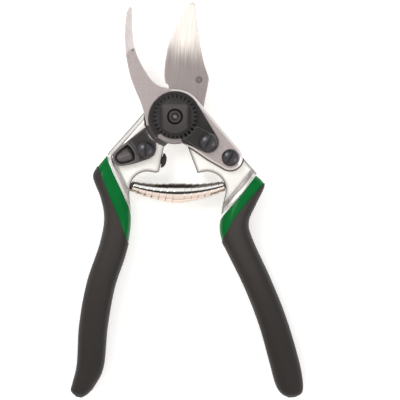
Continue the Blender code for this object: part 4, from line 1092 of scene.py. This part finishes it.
screw_black, shader, cloud = shaded("screw_black", 0.28, 0.15, 250.0, 1500.0, (0.03, 0.5),
                                    Specular_IOR_Level=0.65)
feed(shader, Base_Color=tint(cloud, (0.014, 0.0125, 0.016, 1), (0.030, 0.027, 0.033, 1)))
for name, body, head_radius, screws, stands_for in (
        ("catch_screw_slotted", "blade_side", 4.3, [(*CATCH_PIVOT, CATCH_SEAT, 90)], ["catch_screw"]),
        ("hook_side_screws_slotted", "hook_side", 4.5,
         [(*SEGMENT_SCREW, SEGMENT_SEAT, 63), (*HOOK_SCREW, HOOK_SEAT, 60)], ["segment_screw", "hook_screw"])):
    seats = bpy.data.meshes.new(name)
    seats.from_pydata([(x * MM, y * MM, seat * MM) for x, y, seat, _ in screws], [], [])
    marked(seats, "slot_turn", [math.radians(turn) for *_, turn in screws])
    marked(seats, "shank_reach", [(seat - SCREW_HOLE_BOTTOM - 0.6) * MM for _, _, seat, _ in screws])
    made = grown(name, screw_tree, seats, {
        "Head Radius": head_radius * MM, "Dome Height": SCREW_DOME * MM, "Slot Width": SLOT_WIDTH * MM,
        "Slot Depth": SLOT_DEPTH * MM, "Shank Radius": SHANK_RADIUS * MM, "Finish": screw_black})
    fitted(made, screw_black, body, "black_steel", *stands_for)

# ---- Thumb catch -------------------------------------------------------------------------------------------
# The catch is a blackened steel lever on its own screw. Its hollow edge clears the hub's lug, and its
# horn swings in behind the lug to hold the shears shut. The thumb works it by a deep scoop with a
# ridge in it, and raised lines run round the screw.
CATCH_TOP = 15.7
SCOOP_DEPTH = 1.75
catch_edge = [at(16.1 + 0.8 * math.sin(math.pi * t), 232 - 31.5 * t) for t in np.linspace(0, 1, 24)]
catch_outline = ([np.array((-15.7, -5.4)), np.array((-24.6, -12.4))]
                 + fair([(-29.9, -16.6), (-32.2, -19.6), (-31.6, -23.6), (-28.4, -25.3), (-22.3, -24.5)])
                 + fair([(-13.2, -21.6), (-10.8, -19.6), (-9.7, -16.6)]) + catch_edge)
scoop_edge = (fair([(-24.7, -14.3), (-22.4, -16.6), (-20.9, -19.8), (-21.0, -22.3)])
              + fair([(-23.6, -23.4), (-27.8, -24.2), (-30.6, -22.7), (-31.0, -19.9), (-28.4, -17.0)]))
scoop_loop = even(scoop_edge, 0.5)
SCOOP_RIDGE = [(-28.6, -20.9), (-23.6, -19.2)]
BOW_LINE = fair([(-22.8, -13.2), (-20.0, -16.4), (-19.0, -19.6), (-19.3, -23.0)])


def catch_top(points, edge):
    inside, wall = within(points, scoop_loop), distance(points, scoop_loop, True)
    floor = 0.75 + 0.25 * np.clip((points[:, 0] + 31.0) * 0.93 + (points[:, 1] + 22.5) * 0.37, 0, 9) / 2.25
    scoop = np.minimum(SCOOP_DEPTH, floor) * step_up(wall, 0.0, 0.7)
    ridge = 0.75 * bell(distance(points, SCOOP_RIDGE), 0.75)
    bow = 0.30 * bell(distance(points, BOW_LINE), 0.35)
    return (CATCH_TOP - 0.3 - rounding(edge, 0.5) + bow
            + np.where(inside, ridge - scoop, 0.22 * bell(wall - 0.35, 0.3)))


def catch_shade(points, edge):
    """The scoop's floor, its ridge, its lip and the raised bow line carry painted highlight, its far wall and the
    foot of its wall painted shade, and the edges are a little paler.
    """
    inside, wall = within(points, scoop_loop), distance(points, scoop_loop, True)
    far = step_up((points[:, 0] + 26.0) * 0.8 + (points[:, 1] + 19.0) * 0.6, 1.5, 3.2)
    floor = step_up(wall, 0.6, 1.3)
    tone = 0.40 * floor * (1 - far) - 0.7 * far * (1 - floor * 0.3) - 0.35 * (1 - floor)
    ridge = 0.5 * bell(distance(points, SCOOP_RIDGE), 0.8)
    bow = 0.4 * bell(distance(points, BOW_LINE), 0.5)
    return np.clip(np.where(inside, tone + ridge, 0.6 * bell(wall - 0.5, 0.6)) + bow + 0.06
                   + 0.2 * step_up(edge, 1.0, 0.3), -1, 1)


catch = forged("thumb_catch_black", catch_outline, catch_top, level(HOOK_BOTTOM, -0.25), rim=0.5, cell=0.8,
               spacing=0.45, shade=catch_shade,
               extra=beside(scoop_edge + scoop_edge[:1], (-0.35, -0.7, 0.25, 0.5, 0.8, 1.2, 1.7))
               + list(even(scoop_edge, 0.4)) + beside(BOW_LINE, (-0.6, -0.3, 0, 0.3, 0.6))
               + beside(SCOOP_RIDGE, (-0.9, -0.5, 0, 0.5, 0.9)))
cut_away(catch, *bores(CATCH_PIVOT, bottom=BELOW))
fitted(catch, black_steel, "thumb_catch", "black_steel", "thumb_catch")

# ---- Volute spring -------------------------------------------------------------------------------------------
# A flat spring-steel strip is wound into two cones that meet at their wide ends, each turn partly inside
# the next, and chromed. It bows between the studs in the two necks, and closing the handles bends it.
SPRING_TURNS, STEPS_IN_TURN, END_TURN = 13, 56, 0.45
SPRING_END_RADIUS, SPRING_MIDDLE_RADIUS = 2.65, 5.25
STRIP_THICKNESS, HALF_STRIP, SPRING_SAG, SPRING_SEAT = 0.33, 2.9, 3.7, 0.05
spring_tree, given = pattern("volute_spring", "Turns", "End Turn", "End Radius", "Middle Radius",
                             "Strip Half Width", "Strip Thickness", "Start", "Travel", "Bow Radius", "Slope",
                             Bow_Centre="Vector")
sheet = add(spring_tree, "GeometryNodeMeshGrid", {
    "Size X": 1.0, "Size Y": 1.0, "Vertices X": SPRING_TURNS * STEPS_IN_TURN + 1, "Vertices Y": 15})
px, py, _ = apart(add(spring_tree, "GeometryNodeInputPosition"))
share = px + 0.5
round_strip = (py + 0.5) * (-2 * math.pi)
strip_cos, strip_sin = round_strip.math("COSINE"), round_strip.math("SINE")
taper = share.fade(0.0, 0.004).math("MINIMUM", share.fade(1.0, 0.996)).math("MAXIMUM", 0.02)


def strip_corner(value, fullness):
    return value.math("SIGN") * abs(value).math("POWER", fullness)


shift = strip_corner(strip_cos, 0.45) * given["Strip Half Width"] * taper
lift = (strip_corner(strip_sin, 0.6) - 1.0) * (given["Strip Thickness"] * 0.5) * taper
widening = abs(share * 2.0 - 1.0) * -1.0 + 1.0
coil_radius = lift + (widening * (given["Middle Radius"] - given["End Radius"]) + given["End Radius"])
winding = (share * given["Turns"] + 0.5) * (2 * math.pi)
end_share = given["End Turn"] / given["Turns"]
advance = ((share - end_share) / (end_share * -2.0 + 1.0)).math("MINIMUM", 1.0).math("MAXIMUM", 0.0)
bow_turn = (shift + (advance * given["Travel"] + given["Start"])) / given["Bow Radius"] - given["Slope"]
reach_out = given["Bow Radius"] + coil_radius * winding.math("COSINE")
for label, value in (("flank", winding.math("COSINE")), ("girth", widening), ("strip_edge", abs(strip_cos))):
    sheet = add(spring_tree, "GeometryNodeStoreNamedAttribute", {"Geometry": sheet, "Name": label, "Value": value},
                data_type="FLOAT", domain="POINT")
cx, cy, cz = apart(given["Bow Centre"])
close_tree(merged(scaled(sheet, cx + reach_out * bow_turn.math("SINE"), cy - reach_out * bow_turn.math("COSINE"),
                         cz + coil_radius * winding.math("SINE"))), given["Finish"])

# The chrome carries painted reflections and painted shade in bands by the angle round each coil: pale warm and brown
# bands, grey and darker bands, a black line along the middle of each coil, and grey on the strip's edges where the
# turns overlap.
spring_chrome, shader, cloud = shaded("spring_chrome", 0.12, 1.0, 300.0, 1500.0)
flank, girth, strip_edge = (attribute(cloud.tree, label) for label in ("flank", "girth", "strip_edge"))
painted_dark_reflection = flank.fade(-0.45, -0.66) * flank.fade(-0.97, -0.84) * girth.fade(0.45, 0.7)
chrome = tint(cloud, (0.86, 0.84, 0.81, 1), (0.93, 0.91, 0.88, 1))
for share, colour in ((flank.fade(0.05, 0.25), (0.92, 0.80, 0.72, 1)),
                      (flank.fade(0.55, 0.95), (0.62, 0.50, 0.43, 1)),
                      (flank.fade(-0.42, -0.52) * 0.66, (0.20, 0.18, 0.165, 1)),
                      (painted_dark_reflection * 0.85, (0.09, 0.075, 0.065, 1)),
                      (abs(flank + -0.01).fade(0.19, 0.09) * 0.95, (0.02, 0.017, 0.015, 1)),
                      (strip_edge.fade(0.78, 0.97) * 0.55, (0.20, 0.18, 0.165, 1))):
    chrome = tint(share, chrome, colour)
feed(shader, Base_Color=chrome, Roughness=cloud.fade(0.3, 0.7, 0.08, 0.16))
spring_length = 2 * SPRING_BOW * SPRING_SLOPE - 2 * SPRING_SEAT
spring = grown("volute_spring_chromed", spring_tree, bpy.data.meshes.new("volute_spring"), {
    "Turns": float(SPRING_TURNS), "End Turn": END_TURN, "End Radius": SPRING_END_RADIUS * MM,
    "Middle Radius": SPRING_MIDDLE_RADIUS * MM, "Strip Half Width": HALF_STRIP * MM,
    "Strip Thickness": STRIP_THICKNESS * MM, "Start": (SPRING_SEAT + HALF_STRIP) * MM,
    "Travel": (spring_length - 2 * HALF_STRIP) * MM, "Bow Radius": SPRING_BOW * MM, "Slope": SPRING_SLOPE,
    "Bow Centre": [(SPRING_LEFT[0] + SPRING_RIGHT[0]) / 2 * MM, (SPRING_LEFT[1] + SPRING_BOW - SPRING_SAG) * MM,
                   SPRING_HEIGHT * MM], "Finish": spring_chrome})
spring.data.materials.clear()
spring.data.materials.append(spring_chrome)
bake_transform(spring)
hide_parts("volute_spring")
